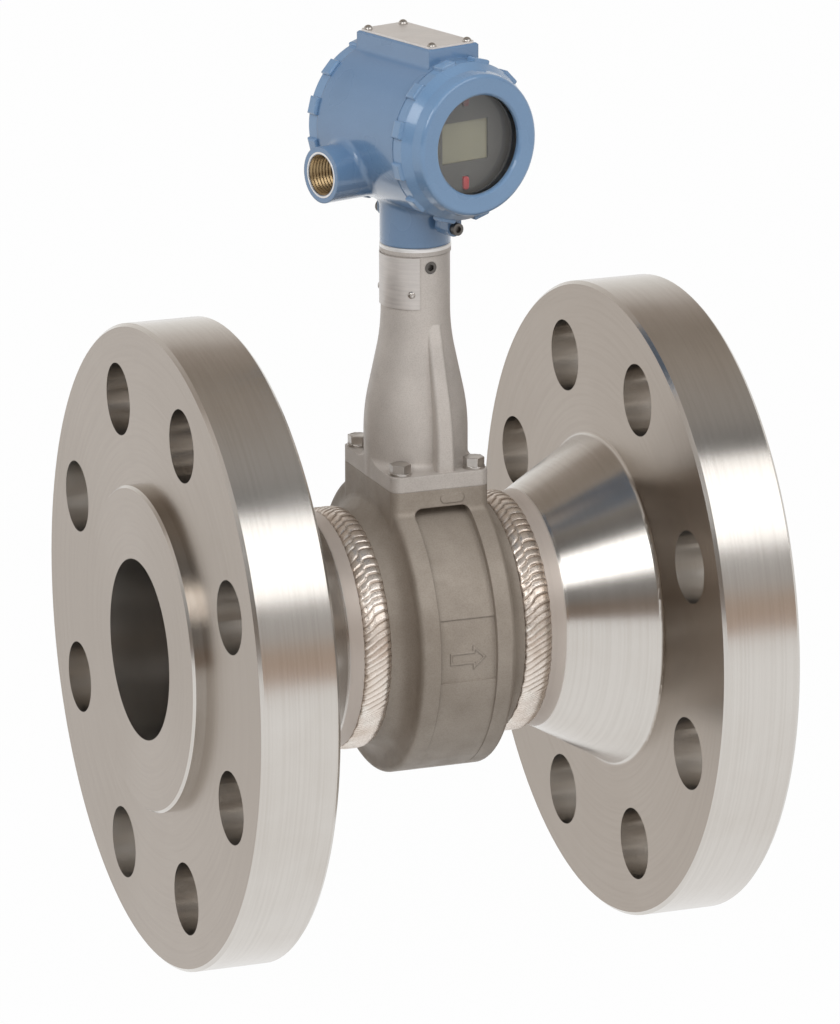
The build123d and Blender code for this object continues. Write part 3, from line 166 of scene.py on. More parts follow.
def finish_nodes(material, *names):
    """Puts one material on CAD nodes that keep their own shape."""
    for name in names:
        for slot in nodes[name].material_slots:
            slot.material = material


def turned_steel():
    """Bright lathe-turned steel: sharp mirror bands round the axis, blurred across the rings.

    Beside each weld a narrow band is wire-brushed matt."""
    material, tree, shader = new_material("turned stainless steel")
    place = object_place(tree)
    parts = split(tree, place)
    across = put(tree, "CombineXYZ", {"Y": parts["Y"], "Z": parts["Z"]}).outputs["Vector"]
    radius = put(tree, "VectorMath", {0: across}, operation="LENGTH").outputs["Value"]
    drift = maths(tree, "MULTIPLY", parts["Y"], 0.03)
    rings = put(tree, "CombineXYZ", {"X": parts["X"], "Y": radius, "Z": drift}).outputs["Vector"]
    fine = noise(tree, rings, 2400, 2, 0.6)
    feed = noise(tree, rings, 700, 3, 0.6)
    smudge = noise(tree, place, 11, 4, 0.6)

    facing = maths(tree, "ABSOLUTE", split(tree, put(tree, "NewGeometry").outputs["Normal"])["X"])
    # Painted shade: the end faces, whose normals run along the pipe's axis, are coloured darker
    # than the rims. This stands in for the darker reflection that they show.
    painted_shade_end_faces = between(tree, facing, 0, 1, 0.8, 0.97)
    colour = blend(tree, painted_shade_end_faces, (0.63, 0.6, 0.565), (0.36, 0.31, 0.262))
    feed_tone = tones(tree, feed, (0.32, (0.955, 0.95, 0.945)), (0.6, WHITE))
    stain = tones(tree, smudge, (0.36, (0.95, 0.94, 0.93)), (0.6, WHITE))
    colour = shaded(tree, shaded(tree, colour, feed_tone), stain)

    off_weld = away_from(tree, away_from(tree, parts["X"], MIDDLE), WELD_OFFSET)
    start = BRUSHED_REACH - BRUSHED_FADE
    brushed = between(tree, off_weld, 1, 0, start, BRUSHED_REACH + BRUSHED_FADE)
    colour = blend(tree, brushed, colour, (0.66, 0.585, 0.525))
    tree.links.new(between(tree, brushed, 1.0, 0.45, 0, 1), shader.inputs["Metallic"])

    polish = between(tree, smudge, 0.21, 0.27, 0.35, 0.65)
    roughness = maths(tree, "MULTIPLY_ADD", brushed, 0.3, polish)
    normal = bump(tree, feed, 0.07, 0.00004, bump(tree, fine, 0.08, 0.00002))
    link_looks(tree, shader, colour, roughness, normal)
    shader.inputs["Anisotropic"].default_value = 0.7
    shader.inputs["Anisotropic Rotation"].default_value = 0.25
    tangent = put(tree, "Tangent", direction_type="RADIAL", axis="X").outputs["Tangent"]
    tree.links.new(tangent, shader.inputs["Tangent"])
    return material


finish_nodes(turned_steel(), "inlet_flange", "outlet_flange")


# Weld beads
# The butt welds between hub and body, laid by hand in many short ripples, so that each bead is
# a ring of overlapping scales. The metal is bright and a little warm, with a painted highlight on
# the crests.
PIPE_RADIUS = 0.05715
BORE_RADIUS = 0.04365
WELD_WIDTH = 0.0135
WELD_CROWN = 0.00135
WELD_ROOT_GAP = 0.0032
WELD_PENETRATION = 0.00075
CROWN_STEPS = 24
RIPPLES = 102
RIPPLE_STEPS = 9
RIPPLE_DEPTH = 0.0008
RIPPLE_FRONT = 0.16
RIPPLE_FALL = 0.8
RIPPLE_BOW = 0.45
RIPPLE_SLANT = 1.15
UPPER_SLANT = 0.2
UPPER_PART = (0.3, 0.12)
LOWER_PART = (0.55, 0.15)
FINE_BELOW = -0.45
LANE_EDGE = -0.2
LANE_SOFTNESS = 0.04
LANE_SHIFT = 0.45
LANE_VALLEY = 0.00022
LANE_VALLEY_WIDTH = 0.1
EDGE_WANDER = 0.00022
CHANCE_STEP = 12.9898
CHANCE_SPREAD = 43758.5453
SAME_POINT = 1e-7
SKIN_MARGIN = 1e-5

# How far the ripples run ahead and behind on their way round, as (share, times, start).
WANDER = ((0.3, 3, 0), (0.13, 11, 0), (0.1, 23, 1))


def new_object(name, shape, material, smooth=False):
    """Makes an object of a bmesh and gives it its material."""
    mesh = bpy.data.meshes.new(name)
    shape.to_mesh(mesh)
    shape.free()
    for face in mesh.polygons:
        face.use_smooth = smooth
    mesh.materials.append(material)
    made = bpy.data.objects.new(name, mesh)
    bpy.context.scene.collection.objects.link(made)
    return made


def piece(name, shape, material, body, smooth=False):
    """A new visible piece that rides on a body and has a finish slot."""
    made = new_object(name, shape, material, smooth)
    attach(made, body)
    return made


def outline(shape, points):
    """Joins points by edges into a closed outline and returns its vertices and edges."""
    corners = [shape.verts.new(point) for point in points]
    edges = [shape.edges.new(pair) for pair in zip(corners, corners[1:] + corners[:1])]
    return corners + edges


def spun(shape, geometry, axis, centre, steps):
    """Revolves an outline all the way round and closes it."""
    bmesh.ops.spin(
        shape,
        geom=geometry,
        cent=centre,
        axis=axis,
        angle=math.tau,
        steps=steps,
        use_merge=True,
    )
    bmesh.ops.remove_doubles(shape, verts=shape.verts, dist=SAME_POINT)
    bmesh.ops.recalc_face_normals(shape, faces=shape.faces)


def weld_metal():
    """Bright bare metal, brown with oxide and darkened by painted shade in the valleys between the
    ripples, with a painted highlight on the crests.
    """
    material, tree, shader = new_material("weld metal", 0.85)
    place = object_place(tree)
    grain = noise(tree, place, 900, 4, 0.6)
    heat = noise(tree, place, 70, 3)
    crest = put(tree, "Attribute", attribute_name="crest").outputs["Fac"]
    colour = tones(
        tree,
        heat,
        (0.3, (0.66, 0.58, 0.51)),
        (0.5, (0.75, 0.68, 0.62)),
        (0.72, (0.8, 0.76, 0.71)),
    )
    # Painted shade and highlight: by each ripple's crest value the colour is darkened and browned
    # in the valleys, partly as oxide and partly as painted shade. It is lightened on the crests as
    # a painted highlight.
    oxide_shade_and_highlight = tones(
        tree,
        crest,
        (0.03, (0.5, 0.43, 0.37)),
        (0.34, (1.0, 0.98, 0.96)),
        (0.8, (1.25, 1.25, 1.25)),
    )
    roughness = between(tree, grain, 0.22, 0.42)
    normal = bump(tree, grain, 0.35, 0.00014)
    link_looks(tree, shader, shaded(tree, colour, oxide_shade_and_highlight), roughness, normal)
    return material


def chance(number):
    """An irregular value between 0 and 1 that belongs to a whole number."""
    return (math.sin(CHANCE_STEP * number) * CHANCE_SPREAD) % 1.0


def rising(value, middle, width):
    """Climbs smoothly from 0 to 1 as the value passes the middle."""
    return 1 / (1 + math.exp((middle - value) / width))


def ripple(across, angle):
    """How far the skin stands out or in across the bead and round it, and the ripple's share.

    On the upper part the ripples are bowed and lie in two lanes. Lower down they are slanted,
    and near the bottom twice as fine."""
    rise = math.sin(angle)
    upper = rising(rise, *UPPER_PART)
    lower = rising(-rise, *LOWER_PART)
    lane = rising(across, LANE_EDGE, LANE_SOFTNESS)

    wander = sum(share * math.sin(times * angle + start) for share, times, start in WANDER)
    turn = RIPPLES * (angle + 0.2 * math.cos(angle)) / math.tau + wander
    bow = RIPPLE_BOW * (across - 0.3) ** 2
    slant = RIPPLE_SLANT - (RIPPLE_SLANT - UPPER_SLANT) * upper
    turn += upper * (bow - LANE_SHIFT * lane) - slant * across
    if rise < FINE_BELOW:
        turn *= 2

    number = math.floor(turn)
    part = turn - number
    scale = (1 - part) ** RIPPLE_FALL * min(1.0, part / RIPPLE_FRONT)
    depth = RIPPLE_DEPTH * (1 - 0.5 * lower) * (0.5 + 0.5 * chance(number % 997))
    depth *= 1 - 0.5 * (1 - upper) * (across + 1) / 2
    off_valley = (across - LANE_EDGE) / LANE_VALLEY_WIDTH
    valley = LANE_VALLEY * upper * math.exp(-(off_valley**2))
    height = (depth * (scale - 0.4) - valley) * (1 - across**6)
    return height, scale * (0.75 + 0.25 * chance(number % 991))


def weld_bead(name, middle, node):
    """One bead: a crowned ring with its root inside the pipe, rippled on its outer skin."""
    half = WELD_WIDTH / 2
    points = []
    for index in range(CROWN_STEPS + 1):
        across = 2 * index / CROWN_STEPS - 1
        radius = PIPE_RADIUS + WELD_CROWN * (1 - abs(across) ** 4)
        points.append((middle + half * across, 0, radius))
    points.append((middle + WELD_ROOT_GAP / 2, 0, BORE_RADIUS))
    points.append((middle, 0, BORE_RADIUS - WELD_PENETRATION))
    points.append((middle - WELD_ROOT_GAP / 2, 0, BORE_RADIUS))

    shape = bmesh.new()
    steps = RIPPLES * RIPPLE_STEPS
    spun(shape, outline(shape, points), (1, 0, 0), (middle, 0, 0), steps)
    crest = shape.verts.layers.float.new("crest")
    for vertex in shape.verts:
        out = math.hypot(vertex.co.y, vertex.co.z)
        if out < PIPE_RADIUS - SKIN_MARGIN:
            continue
        angle = math.atan2(vertex.co.z, -vertex.co.y)
        across = max(-1.0, min(1.0, (vertex.co.x - middle) / half))
        height, vertex[crest] = ripple(across, angle)
        grown = (out + height) / out
        vertex.co.y *= grown
        vertex.co.z *= grown
        sway = math.sin(RIPPLES // 2 * angle + 3 * math.sin(5 * angle))
        vertex.co.x += EDGE_WANDER * across**3 * sway
    bead = piece(name, shape, WELD_METAL, "meter", smooth=True)
    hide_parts(node)


WELD_METAL = weld_metal()
weld_bead("inlet_weld_bead", MIDDLE - WELD_OFFSET, "inlet_weld")
weld_bead("outlet_weld_bead", MIDDLE + WELD_OFFSET, "outlet_weld")


# Meter body
# One steel casting, blasted clean and left bare, so that it is matt, warm grey and slightly
# rough all over. Its bore and the top of its pad are machined.
CAST_METALLIC = 0.3


def soft_edges(tree, radius):
    """A normal that runs round the edges as if they were rounded off."""
    return put(tree, "Bevel", {"Radius": radius}, samples=6).outputs["Normal"]


def cast_steel(name, light, dark, grain_size):
    """A blasted casting, cloudy in its tone, with a fine grain over soft edges."""
    material, tree, shader = new_material(name, CAST_METALLIC)
    place = object_place(tree)
    grain = noise(tree, place, grain_size, 4, 0.65)
    cloud = noise(tree, place, 34, 4, 0.6)
    streak = noise(tree, place, 130, 3)
    colour = tones(tree, cloud, (0.32, dark), (0.66, light))
    fleck = tones(tree, grain, (0.34, (0.88, 0.87, 0.86)), (0.6, WHITE))
    roughness = between(tree, streak, 0.45, 0.58)
    waves = bump(tree, streak, 0.25, 0.0004, soft_edges(tree, 0.0009))
    normal = bump(tree, grain, 0.4, 0.00014, waves)
    link_looks(tree, shader, shaded(tree, colour, fleck), roughness, normal)
    return material


BODY_SKIN = cast_steel("blasted body casting", (0.42, 0.365, 0.31), (0.35, 0.3, 0.25), 1500)
finish_nodes(BODY_SKIN, "meter_body")


# Sensor
# A turned steel sensor sits in a well in the body's pad under a hollow nut, hidden inside the
# column.
def darker(colour, share):
    return tuple(share * value for value in colour)


def plain_metal(name, colour, roughness):
    """Bright small parts: machined or drawn metal with fine scratches."""
    material, tree, shader = new_material(name, 1.0)
    place = object_place(tree)
    scratch = noise(tree, place, 300, 2, 0.5, (1, 1, 6))
    mark = noise(tree, place, 120, 3)
    skin = tones(tree, mark, (0.35, darker(colour, 0.86)), (0.62, colour))
    scratched = between(tree, scratch, roughness - 0.02, roughness + 0.04)
    normal = bump(tree, scratch, 0.02, 0.00002, soft_edges(tree, 0.0002))
    link_looks(tree, shader, skin, scratched, normal)
    return material


BRIGHT_STEEL = plain_metal("stainless screws", (0.56, 0.53, 0.5), 0.3)
finish_nodes(BRIGHT_STEEL, "sensor", "sensor_nut")


# Support column
# A second casting, finer and lighter than the body, bolted to the pad. Its collar at the top is
# machined bright where the housing turns on it.
COLLAR_HEIGHT = 0.1859


def recolour_above(material, height, colour):
    """Gives a material another colour from a height upwards, and returns where it has it."""
    tree = material.node_tree
    base = tree.nodes["Principled BSDF"].inputs["Base Color"]
    skin = base.links[0].from_socket
    upper = maths(tree, "GREATER_THAN", split(tree, object_place(tree))["Z"], height)
    tree.links.new(blend(tree, upper, skin, colour), base)
    return upper


def column_casting():
    """The column's blasted skin, with bright turned metal above the foot of the collar."""
    light, dark = (0.66, 0.61, 0.565), (0.58, 0.535, 0.495)
    material = cast_steel("blasted column casting", light, dark, 1900)
    machined = recolour_above(material, COLLAR_HEIGHT, (0.85, 0.84, 0.83))
    tree = material.node_tree
    metallic = tree.nodes["Principled BSDF"].inputs["Metallic"]
    tree.links.new(between(tree, machined, CAST_METALLIC, 1.0, 0, 1), metallic)
    return material


finish_nodes(column_casting(), "support_column")


# Column bolts
# Four stainless hex bolts with a round washer face hold the column's base to the pad. The
# heads are forged. Within its level outer edge each top slopes down towards the corners.
BOLT_SPACING = (0.01875, 0.0285)
BOLT_SEAT = 0.0815
BOLT_FOOT_RADIUS = 0.0054
BOLT_FOOT_HEIGHT = 0.0013
BOLT_FOOT_EDGE = 0.0003
BOLT_FLATS = 0.009
BOLT_HEAD = 0.004
BOLT_OVERLAP = 0.0001
BOLT_TOP_INSET = 0.00027
BOLT_CORNER_SLOPE = 0.6
FOOT_STEPS = 40
HEX_SIDE_STEPS = 6


def bevel(shape, edges, offset, segments):
    """Rounds edges off."""
    bmesh.ops.bevel(
        shape,
        geom=edges,
        offset=offset,
        segments=segments,
        profile=0.5,
        affect="EDGES",
        material=-1,
    )


def washer_face(shape, centre, bottom, top):
    """The round foot of a bolt head, its upper edge rounded."""
    made = bmesh.ops.create_cone(
        shape,
        cap_ends=True,
        segments=FOOT_STEPS,
        radius1=BOLT_FOOT_RADIUS,
        radius2=BOLT_FOOT_RADIUS,
        depth=top - bottom,
    )["verts"]
    bmesh.ops.translate(shape, verts=made, vec=(*centre, (bottom + top) / 2))
    faces = {face for vertex in made for face in vertex.link_faces}
    highest = max(faces, key=lambda face: face.calc_center_median().z)
    bevel(shape, list(highest.edges), BOLT_FOOT_EDGE, 2)


def hex_head(shape, centre, bottom, height):
    """A hexagonal head. Within its level outer edge the top slopes down towards the corners."""
    half_flats = BOLT_FLATS / 2
    circle = bmesh.ops.create_circle(
        shape, cap_ends=True, segments=6 * HEX_SIDE_STEPS, radius=half_flats
    )["verts"]
    for vertex in circle:
        angle = math.atan2(vertex.co.y, vertex.co.x)
        off_flat = (angle + math.pi / 6) % (math.pi / 3) - math.pi / 6
        vertex.co *= 1 / math.cos(off_flat)
    bmesh.ops.translate(shape, verts=circle, vec=(*centre, bottom))
    risen = bmesh.ops.extrude_face_region(shape, geom=[circle[0].link_faces[0]])["geom"]
    upper = [part for part in risen if isinstance(part, bmesh.types.BMVert)]
    top = [part for part in risen if isinstance(part, bmesh.types.BMFace)]
    bmesh.ops.translate(shape, verts=upper, vec=(0, 0, height))
    bmesh.ops.inset_region(shape, faces=top, thickness=BOLT_TOP_INSET)
    for vertex in upper:
        out = (Vector(vertex.co.xy) - Vector(centre)).length
        vertex.co.z -= (out - half_flats) * BOLT_CORNER_SLOPE
    bmesh.ops.recalc_face_normals(shape, faces=shape.faces)


shape = bmesh.new()
foot_top = BOLT_SEAT + BOLT_FOOT_HEIGHT
for sign_x in (-1, 1):
    for sign_y in (-1, 1):
        centre = (MIDDLE + sign_x * BOLT_SPACING[0], sign_y * BOLT_SPACING[1])
        washer_face(shape, centre, BOLT_SEAT, foot_top)
        hex_head(shape, centre, foot_top - BOLT_OVERLAP, BOLT_HEAD + BOLT_OVERLAP)
bolts = piece("column_bolt_heads", shape, BRIGHT_STEEL, "meter")
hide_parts("column_bolts")


# Tag plate and clamp screws
# A thin stainless plate is bent round the column and held by drive rivets. Two headless socket
# screws under the collar clamp the housing's spigot.
def brushed_plate(name, colour, stretch, metallic):
    """Sheet metal with brush lines that run along the way in which the noise is stretched."""
    material, tree, shader = new_material(name, metallic)
    place = object_place(tree)
    lines = noise(tree, place, 900, 3, 0.6, stretch)
    patch = noise(tree, place, 90, 3)
    worn = tones(tree, patch, (0.34, darker(colour, 0.95)), (0.62, colour))
    line = tones(tree, lines, (0.3, (0.9, 0.9, 0.9)), (0.65, WHITE))
    roughness = between(tree, lines, 0.28, 0.42)
    link_looks(tree, shader, shaded(tree, worn, line), roughness, bump(tree, lines, 0.15, 0.00004))
    return material


TAG_STEEL = brushed_plate("tag plate steel", (0.7, 0.655, 0.62), (0.08, 0.08, 1), 0.45)
DARK_STEEL = plain_metal("blackened socket screws", (0.16, 0.15, 0.14), 0.38)
finish_nodes(TAG_STEEL, "tag_plate")
finish_nodes(BRIGHT_STEEL, "tag_rivets")
finish_nodes(DARK_STEEL, "neck_screws")


# Neck seal
# A moulded rubber ring in the spigot's groove keeps water out of the joint. The seals of the
# covers and the gasket of the window are of the same rubber.
def rubber():
    """Dull black rubber with a faint grey bloom."""
    material, tree, shader = new_material("black seal rubber")
    bloom = noise(tree, object_place(tree), 400, 3)
    colour = tones(tree, bloom, (0.3, (0.014, 0.014, 0.014)), (0.7, (0.035, 0.035, 0.034)))
    link_looks(tree, shader, colour, between(tree, bloom, 0.5, 0.72))
    return material


finish_nodes(rubber(), "neck_seal", "display_cover_seal", "rear_cover_seal", "window_gasket")


# Electronics housing
# A low-copper aluminium casting whose spigot turns in the column's collar. Its baked blue paint
# is semi-gloss, with the slight ripple that sprayed paint has.
def blue_paint(name, light, dark):
    """Glossy paint over a lightly sanded casting with soft edges."""
    material, tree, shader = new_material(name)
    place = object_place(tree)
    flow = noise(tree, place, 420, 2, 0.5)
    sand = noise(tree, place, 1500, 3, 0.6)
    patch = noise(tree, place, 26, 3)
    colour = tones(tree, patch, (0.32, dark), (0.66, light))
    speck = tones(tree, sand, (0.3, (0.95, 0.95, 0.96)), (0.6, WHITE))
    roughness = between(tree, patch, 0.24, 0.32)
    sanded = bump(tree, sand, 0.08, 0.00004, soft_edges(tree, 0.0012))
    normal = bump(tree, flow, 0.12, 0.00015, sanded)
    link_looks(tree, shader, shaded(tree, colour, speck), roughness, normal)
    shader.inputs["Coat Weight"].default_value = 0.8
    shader.inputs["Coat Roughness"].default_value = 0.09
    return material


HOUSING_PAINT = blue_paint(
    "blue paint of the housing", (0.155, 0.27, 0.445), (0.137, 0.246, 0.41)
)
finish_nodes(HOUSING_PAINT, "electronics_housing")


# Nameplate
# A brushed stainless plate on the housing's top pad, bare, held by four round-head screws.
NAMEPLATE_STEEL = brushed_plate("nameplate steel", (0.74, 0.7, 0.67), (0.06, 1, 1), 0.8)
finish_nodes(NAMEPLATE_STEEL, "nameplate")
finish_nodes(BRIGHT_STEEL, "nameplate_screws")


# Conduit plug and cover lock screws
# A steel pipe plug closes the conduit entry that is not used. A socket screw under each cover
# locks it against turning.
finish_nodes(DARK_STEEL, "conduit_plug", "cover_lock_screws")


# Conduit mouth
# The open conduit entry is threaded. Its thread shines brass-coloured, and a narrow ring round
# the mouth is turned free of paint.
HOUSING_TURN = math.radians(16)
ENTRY_HEIGHT = 0.226
ENTRY_REACH = 0.051
ENTRY_BEHIND = 0.006
ENTRY_RADIUS = 0.0099
WALL_GAP = 0.00003
THREAD_PITCH = 0.0018
THREAD_DEPTH = 0.00095
THREAD_TURNS = 8
THREAD_START = 0.0007
THREAD_CREST = 0.0001
THREAD_ROOT = 0.00015
RIM_INSIDE = 0.00005
RIM_PROUD = 0.00005
RIM_DEEP = 0.00002
RIM_CHAMFER = (0.00025, 0.0002)
RIM_WIDTH = 0.00115
RING_STEPS = 72

to_right = Vector((math.cos(HOUSING_TURN), math.sin(HOUSING_TURN), 0))
to_front = Vector((math.sin(HOUSING_TURN), -math.cos(HOUSING_TURN), 0))
upwards = Vector((0, 0, 1))


def placed(origin, x_way, y_way, z_way):
    """The matrix of a place, from its origin and the ways of its three axes."""
    return Matrix.Translation(origin) @ Matrix((x_way, y_way, z_way)).transposed().to_4x4()


mouth = Vector((MIDDLE, 0, ENTRY_HEIGHT)) - ENTRY_REACH * to_right - ENTRY_BEHIND * to_front
into_mouth = placed(mouth, to_front, upwards, to_right)


def ring_piece(name, points, material):
    """Revolves a closed outline of (radius, depth) points about the conduit's axis."""
    shape = bmesh.new()
    geometry = outline(shape, [(radius, 0, depth) for radius, depth in points])
    spun(shape, geometry, (0, 0, 1), (0, 0, 0), RING_STEPS)
    bmesh.ops.transform(shape, matrix=into_mouth, verts=shape.verts)
    bmesh.ops.recalc_face_normals(shape, faces=shape.faces)
    return piece(name, shape, material, "housing")


outer = ENTRY_RADIUS - WALL_GAP
points = [(outer, THREAD_START)]
for turn in range(THREAD_TURNS):
    crest = THREAD_START + (turn + 0.5) * THREAD_PITCH
    points.append((outer - THREAD_DEPTH, crest - THREAD_CREST))
    points.append((outer - THREAD_DEPTH, crest + THREAD_CREST))
    points.append((outer - THREAD_ROOT, crest + THREAD_PITCH / 2))
points.append((outer, THREAD_START + THREAD_TURNS * THREAD_PITCH))
BRASS = plain_metal("brass thread", (0.4, 0.29, 0.16), 0.34)
ring_piece("conduit_thread", points, BRASS)

rim = [
    (outer - RIM_INSIDE, THREAD_START),
    (outer - RIM_INSIDE, RIM_CHAMFER[1]),
    (outer + RIM_CHAMFER[0], -RIM_PROUD),
    (outer + RIM_WIDTH, -RIM_PROUD),
    (outer + RIM_WIDTH, RIM_DEEP),
    (outer, RIM_DEEP),
    (outer, THREAD_START),
]
BARE_METAL = plain_metal("bare turned aluminium", (0.8, 0.78, 0.76), 0.3)
ring_piece("conduit_rim", rim, BARE_METAL)


# Electronics module and terminals
# A moulded electronics puck sits behind the display, held by steel screws. The moulded terminal
# block under the rear cover has plated brass screws, as have its wires and the earth.
def moulded(name, colour, roughness):
    """Moulded plastic, faintly cloudy, with soft edges."""
    material, tree, shader = new_material(name)
    place = object_place(tree)
    grain = noise(tree, place, 900, 2, 0.5)
    cloud = noise(tree, place, 70, 3)
    skin = tones(tree, cloud, (0.3, darker(colour, 0.9)), (0.7, colour))
    grained = between(tree, grain, roughness - 0.04, roughness + 0.04)
    link_looks(tree, shader, skin, grained, soft_edges(tree, 0.0003))
    return material


DARK_PLASTIC = moulded("dark moulded plastic", (0.095, 0.083, 0.071), 0.42)
PLATED_BRASS = plain_metal("plated brass screws", (0.72, 0.6, 0.36), 0.28)
finish_nodes(DARK_PLASTIC, "electronics_module", "terminal_block")
finish_nodes(BRIGHT_STEEL, "module_screws")
finish_nodes(PLATED_BRASS, "terminal_screws", "block_screws", "earth_screw")


# Display
# A dark moulded face with a blank grey-green liquid-crystal panel. Two red jumpers with rounded
# ends are plugged in above and below the panel.
JUMPER_CORNER = 0.0015
JUMPER_EDGE = 0.0004
JUMPER_PAINTED_SHADE_ABOVE = 0.2435
JUMPER_SAME_POINT = 1e-6
JUMPER_FLAT = 0.02
SAME_WAY = 0.99

finish_nodes(DARK_PLASTIC, "display_module")
finish_nodes(moulded("blank display glass", (0.335, 0.295, 0.195), 0.22), "lcd_panel")


def jumper_red():
    """Red plastic, bright below, and darkened by painted shade above the display."""
    material = moulded("red jumper plastic", (0.65, 0.03, 0.035), 0.35)
    # Painted shade: the jumper above the display is coloured dark red.
    recolour_above(material, JUMPER_PAINTED_SHADE_ABOVE, (0.16, 0.02, 0.02))
    return material


shape = bmesh.new()
shape.from_mesh(nodes["display_jumpers"].data)
bmesh.ops.remove_doubles(shape, verts=shape.verts, dist=JUMPER_SAME_POINT)
bmesh.ops.dissolve_limit(
    shape, angle_limit=JUMPER_FLAT, verts=shape.verts, edges=shape.edges
)
corners = []
for edge in shape.edges:
    way = (edge.verts[1].co - edge.verts[0].co).normalized()
    if abs(way.dot(to_front)) > SAME_WAY:
        corners.append(edge)
bevel(shape, corners, JUMPER_CORNER, 5)
shape.normal_update()
fronts = [face for face in shape.faces if face.normal.dot(to_front) > SAME_WAY]
bevel(shape, [edge for face in fronts for edge in face.edges], JUMPER_EDGE, 2)
bmesh.ops.recalc_face_normals(shape, faces=shape.faces)
jumpers = piece("rounded_jumpers", shape, jumper_red(), "housing")
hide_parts("display_jumpers")


# Window
# Round tempered glass in a rubber gasket, held from inside by a spring ring. Light that only
# passes through it isn't bent, so that the display behind it is lit.
GLASS_INDEX = 1.47


def link_mix(tree, share, first, second, output="Material Output"):
    """Links a mix of two shaders to the output."""
    mixed = put(tree, "MixShader", {0: share, 1: first, 2: second}).outputs["Shader"]
    tree.links.new(mixed, tree.nodes[output].inputs["Surface"])


def clear_glass():
    """Clear glass with a trace of green."""
    material, tree, shader = new_material("window glass")
    haze = noise(tree, object_place(tree), 60, 2)
    tint = tones(tree, haze, (0.3, (0.95, 0.965, 0.96)), (0.7, (0.98, 0.985, 0.985)))
    tree.links.new(tint, shader.inputs["Base Color"])
    shader.inputs["Roughness"].default_value = 0.0
    shader.inputs["Transmission Weight"].default_value = 1.0
    shader.inputs["IOR"].default_value = GLASS_INDEX
    clear = put(tree, "BsdfTransparent", {"Color": (0.96, 0.98, 0.97, 1)}).outputs["BSDF"]
    path = put(tree, "LightPath").outputs
    passing = maths(tree, "ADD", path["Is Shadow Ray"], path["Is Diffuse Ray"], clamp=True)
    link_mix(tree, passing, shader.outputs["BSDF"], clear)
    return material


finish_nodes(clear_glass(), "display_window")
finish_nodes(DARK_STEEL, "window_retainer")


# Covers
# Two lugged aluminium covers screw into the housing's ends, the front one with the window.
# Their blue paint looks a little lighter than the housing's.
COVER_PAINT = blue_paint("blue paint of the covers", (0.185, 0.325, 0.525), (0.165, 0.295, 0.485))
finish_nodes(COVER_PAINT, "display_cover", "rear_cover")


# Camera
# It looks a little down on the meter from the front left, with a long lens. Lens and sensor are
# in millimetres, and the azimuth and elevation in degrees.
TARGET = Vector((0.1432, 0.0, 0.0534))
AZIMUTH = -20.9
ELEVATION = 15.8
ROLL = math.radians(-0.1)
DISTANCE = 3.5
LENS = 255.7
SENSOR_WIDTH = 36
FAR_CLIP = 50


def way_to(azimuth, elevation):
    """The way from the meter to a place at this azimuth and elevation, in degrees."""
    turn = math.radians(azimuth)
    rise = math.radians(elevation)
    level = math.cos(rise)
    return Vector((math.sin(turn) * level, -math.cos(turn) * level, math.sin(rise)))


backward = way_to(AZIMUTH, ELEVATION)
level = Vector((math.cos(math.radians(AZIMUTH)), math.sin(math.radians(AZIMUTH)), 0))
upward = backward.cross(level)
right = math.cos(ROLL) * level + math.sin(ROLL) * upward
up = math.cos(ROLL) * upward - math.sin(ROLL) * level
camera_data = bpy.data.cameras.new("camera")
camera_data.lens = LENS
camera_data.sensor_width = SENSOR_WIDTH
camera_data.clip_end = FAR_CLIP
camera = bpy.data.objects.new("camera", camera_data)
camera.matrix_world = placed(TARGET + DISTANCE * backward, right, up, backward)
bpy.context.scene.collection.objects.link(camera)
bpy.context.scene.camera = camera


# Floor
# A wide plain white floor under the flanges. Seen directly, in metal or through glass it is
# nearly white by itself, and otherwise it takes light and shadow as grey paper does.
FLOOR_RADIUS = 14
FLOOR_DROP = 0.0002
FLOOR_GLOW = 0.985
FLOOR_PAPER = (0.45, 0.45, 0.45, 1)


def seen_rays(tree):
    """1 for rays that show a thing to the camera, in a mirror or through glass, otherwise 0."""
    path = put(tree, "LightPath").outputs
    seen = maths(tree, "ADD", path["Is Camera Ray"], path["Is Glossy Ray"])
    return maths(tree, "ADD", seen, path["Is Transmission Ray"], clamp=True)


def white_floor():
    """Glows white for the rays that show it, and is grey paper for the light."""
    material, tree, shader = new_material("white floor")
    tree.nodes.remove(shader)
    share = maths(tree, "MULTIPLY", seen_rays(tree), FLOOR_GLOW)
    paper = put(tree, "BsdfDiffuse", {"Color": FLOOR_PAPER}).outputs["BSDF"]
    glow = put(tree, "Emission", {"Color": (1, 1, 1, 1), "Strength": 1.0}).outputs["Emission"]
    link_mix(tree, share, paper, glow)
    return material


shape = bmesh.new()
bmesh.ops.create_circle(shape, cap_ends=True, segments=96, radius=FLOOR_RADIUS)
bmesh.ops.translate(shape, verts=shape.verts, vec=(TARGET.x, 0, cad_box[0][2] - FLOOR_DROP))
new_object("floor", shape, white_floor())


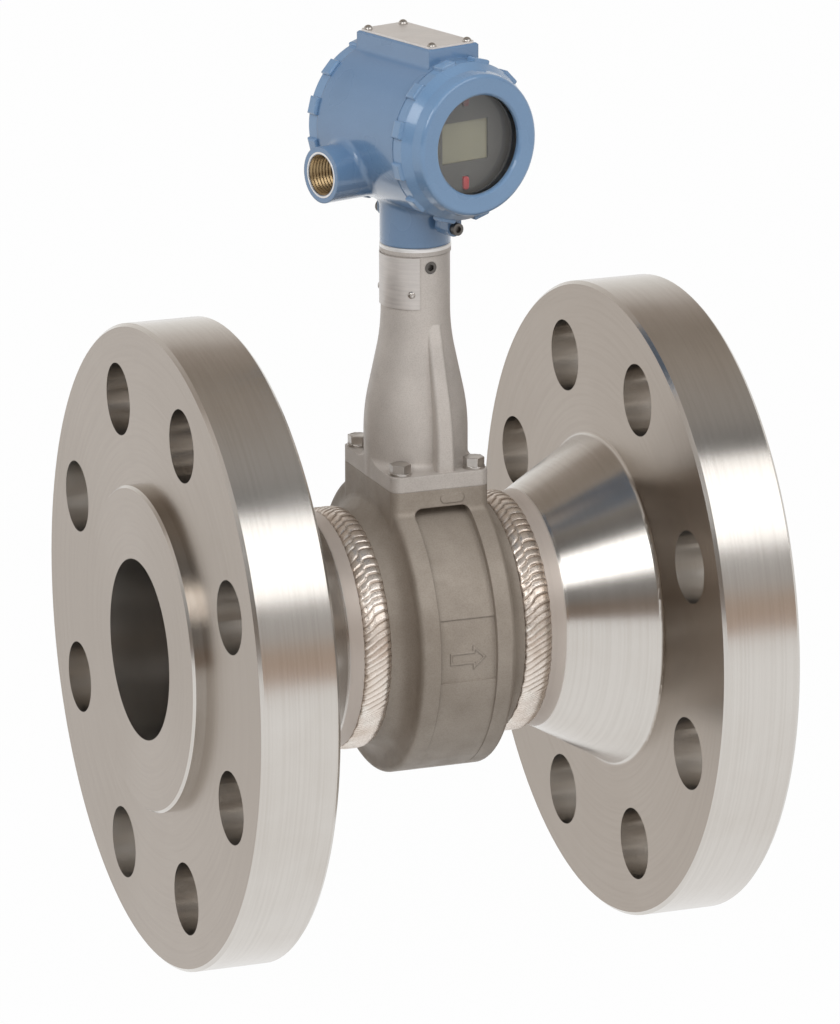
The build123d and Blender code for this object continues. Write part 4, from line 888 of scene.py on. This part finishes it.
# Light
# Two soft boxes at the front, a large one at the right and a small one at the left, and a weak
# one at the far left, in a pale room.
def softbox(name, azimuth, elevation, distance, width, height, radiance):
    """A rectangular lamp that faces the meter."""
    lamp = bpy.data.lights.new(name, "AREA")
    lamp.shape = "RECTANGLE"
    lamp.size = width
    lamp.size_y = height
    lamp.energy = radiance * math.pi * width * height
    made = bpy.data.objects.new(name, lamp)
    way = way_to(azimuth, elevation)
    facing = way.to_track_quat("Z", "Y").to_matrix().to_4x4()
    made.matrix_world = Matrix.Translation(TARGET + distance * way) @ facing
    bpy.context.scene.collection.objects.link(made)


# Azimuth and elevation in degrees, then distance, width and height, and last the radiance.
softbox("front right softbox", 27, 40.5, 2.2, 1.9, 1.1, 1.8)
softbox("front left softbox", -44, 38, 2.2, 1.2, 0.85, 3.6)
softbox("left softbox", -100, 35, 2.4, 1.2, 1.2, 0.25)


def pale_room():
    """Soft light all round, a little less from the right. Metal shows walls of many tones."""
    world = bpy.data.worlds.new("studio")
    world.use_nodes = True
    tree = world.node_tree
    way = split(tree, put(tree, "TexCoord").outputs["Generated"])
    front_wall = tones(
        tree,
        way["Z"],
        (0.0, (0.5, 0.37, 0.29)),
        (0.18, (0.48, 0.37, 0.29)),
        (0.25, (0.5, 0.49, 0.48)),
        (0.8, (0.3, 0.3, 0.3)),
        (0.83, (0.09, 0.09, 0.09)),
        (0.875, (0.09, 0.09, 0.09)),
        (0.9, (0.4, 0.385, 0.37)),
    )
    back_wall = tones(
        tree,
        way["Z"],
        (0.0, (0.95, 0.94, 0.92)),
        (0.18, (0.85, 0.83, 0.8)),
        (0.43, (0.66, 0.62, 0.58)),
        (0.62, (0.36, 0.31, 0.27)),
        (0.8, (0.3, 0.26, 0.22)),
        (0.92, (0.38, 0.34, 0.3)),
    )
    shade = between(tree, way["X"], 0.35, 1.0, -0.7, 0.0)
    inputs = {0: front_wall, "Scale": shade}
    darkened = put(tree, "VectorMath", inputs, operation="SCALE").outputs["Vector"]
    behind = between(tree, way["Y"], 0, 1, -0.25, 0.25)
    walls = blend(tree, behind, darkened, back_wall)
    level = between(tree, way["X"], 0.68, 0.46, -0.8, 0.8)
    soft = put(tree, "Background", {"Color": (1, 1, 1, 1), "Strength": level})
    shown = put(tree, "Background", {"Color": walls, "Strength": 1.0})
    soft, shown = soft.outputs["Background"], shown.outputs["Background"]
    link_mix(tree, seen_rays(tree), soft, shown, "World Output")
    return world


bpy.context.scene.world = pale_room()
bpy.context.scene.view_settings.view_transform = "Standard"
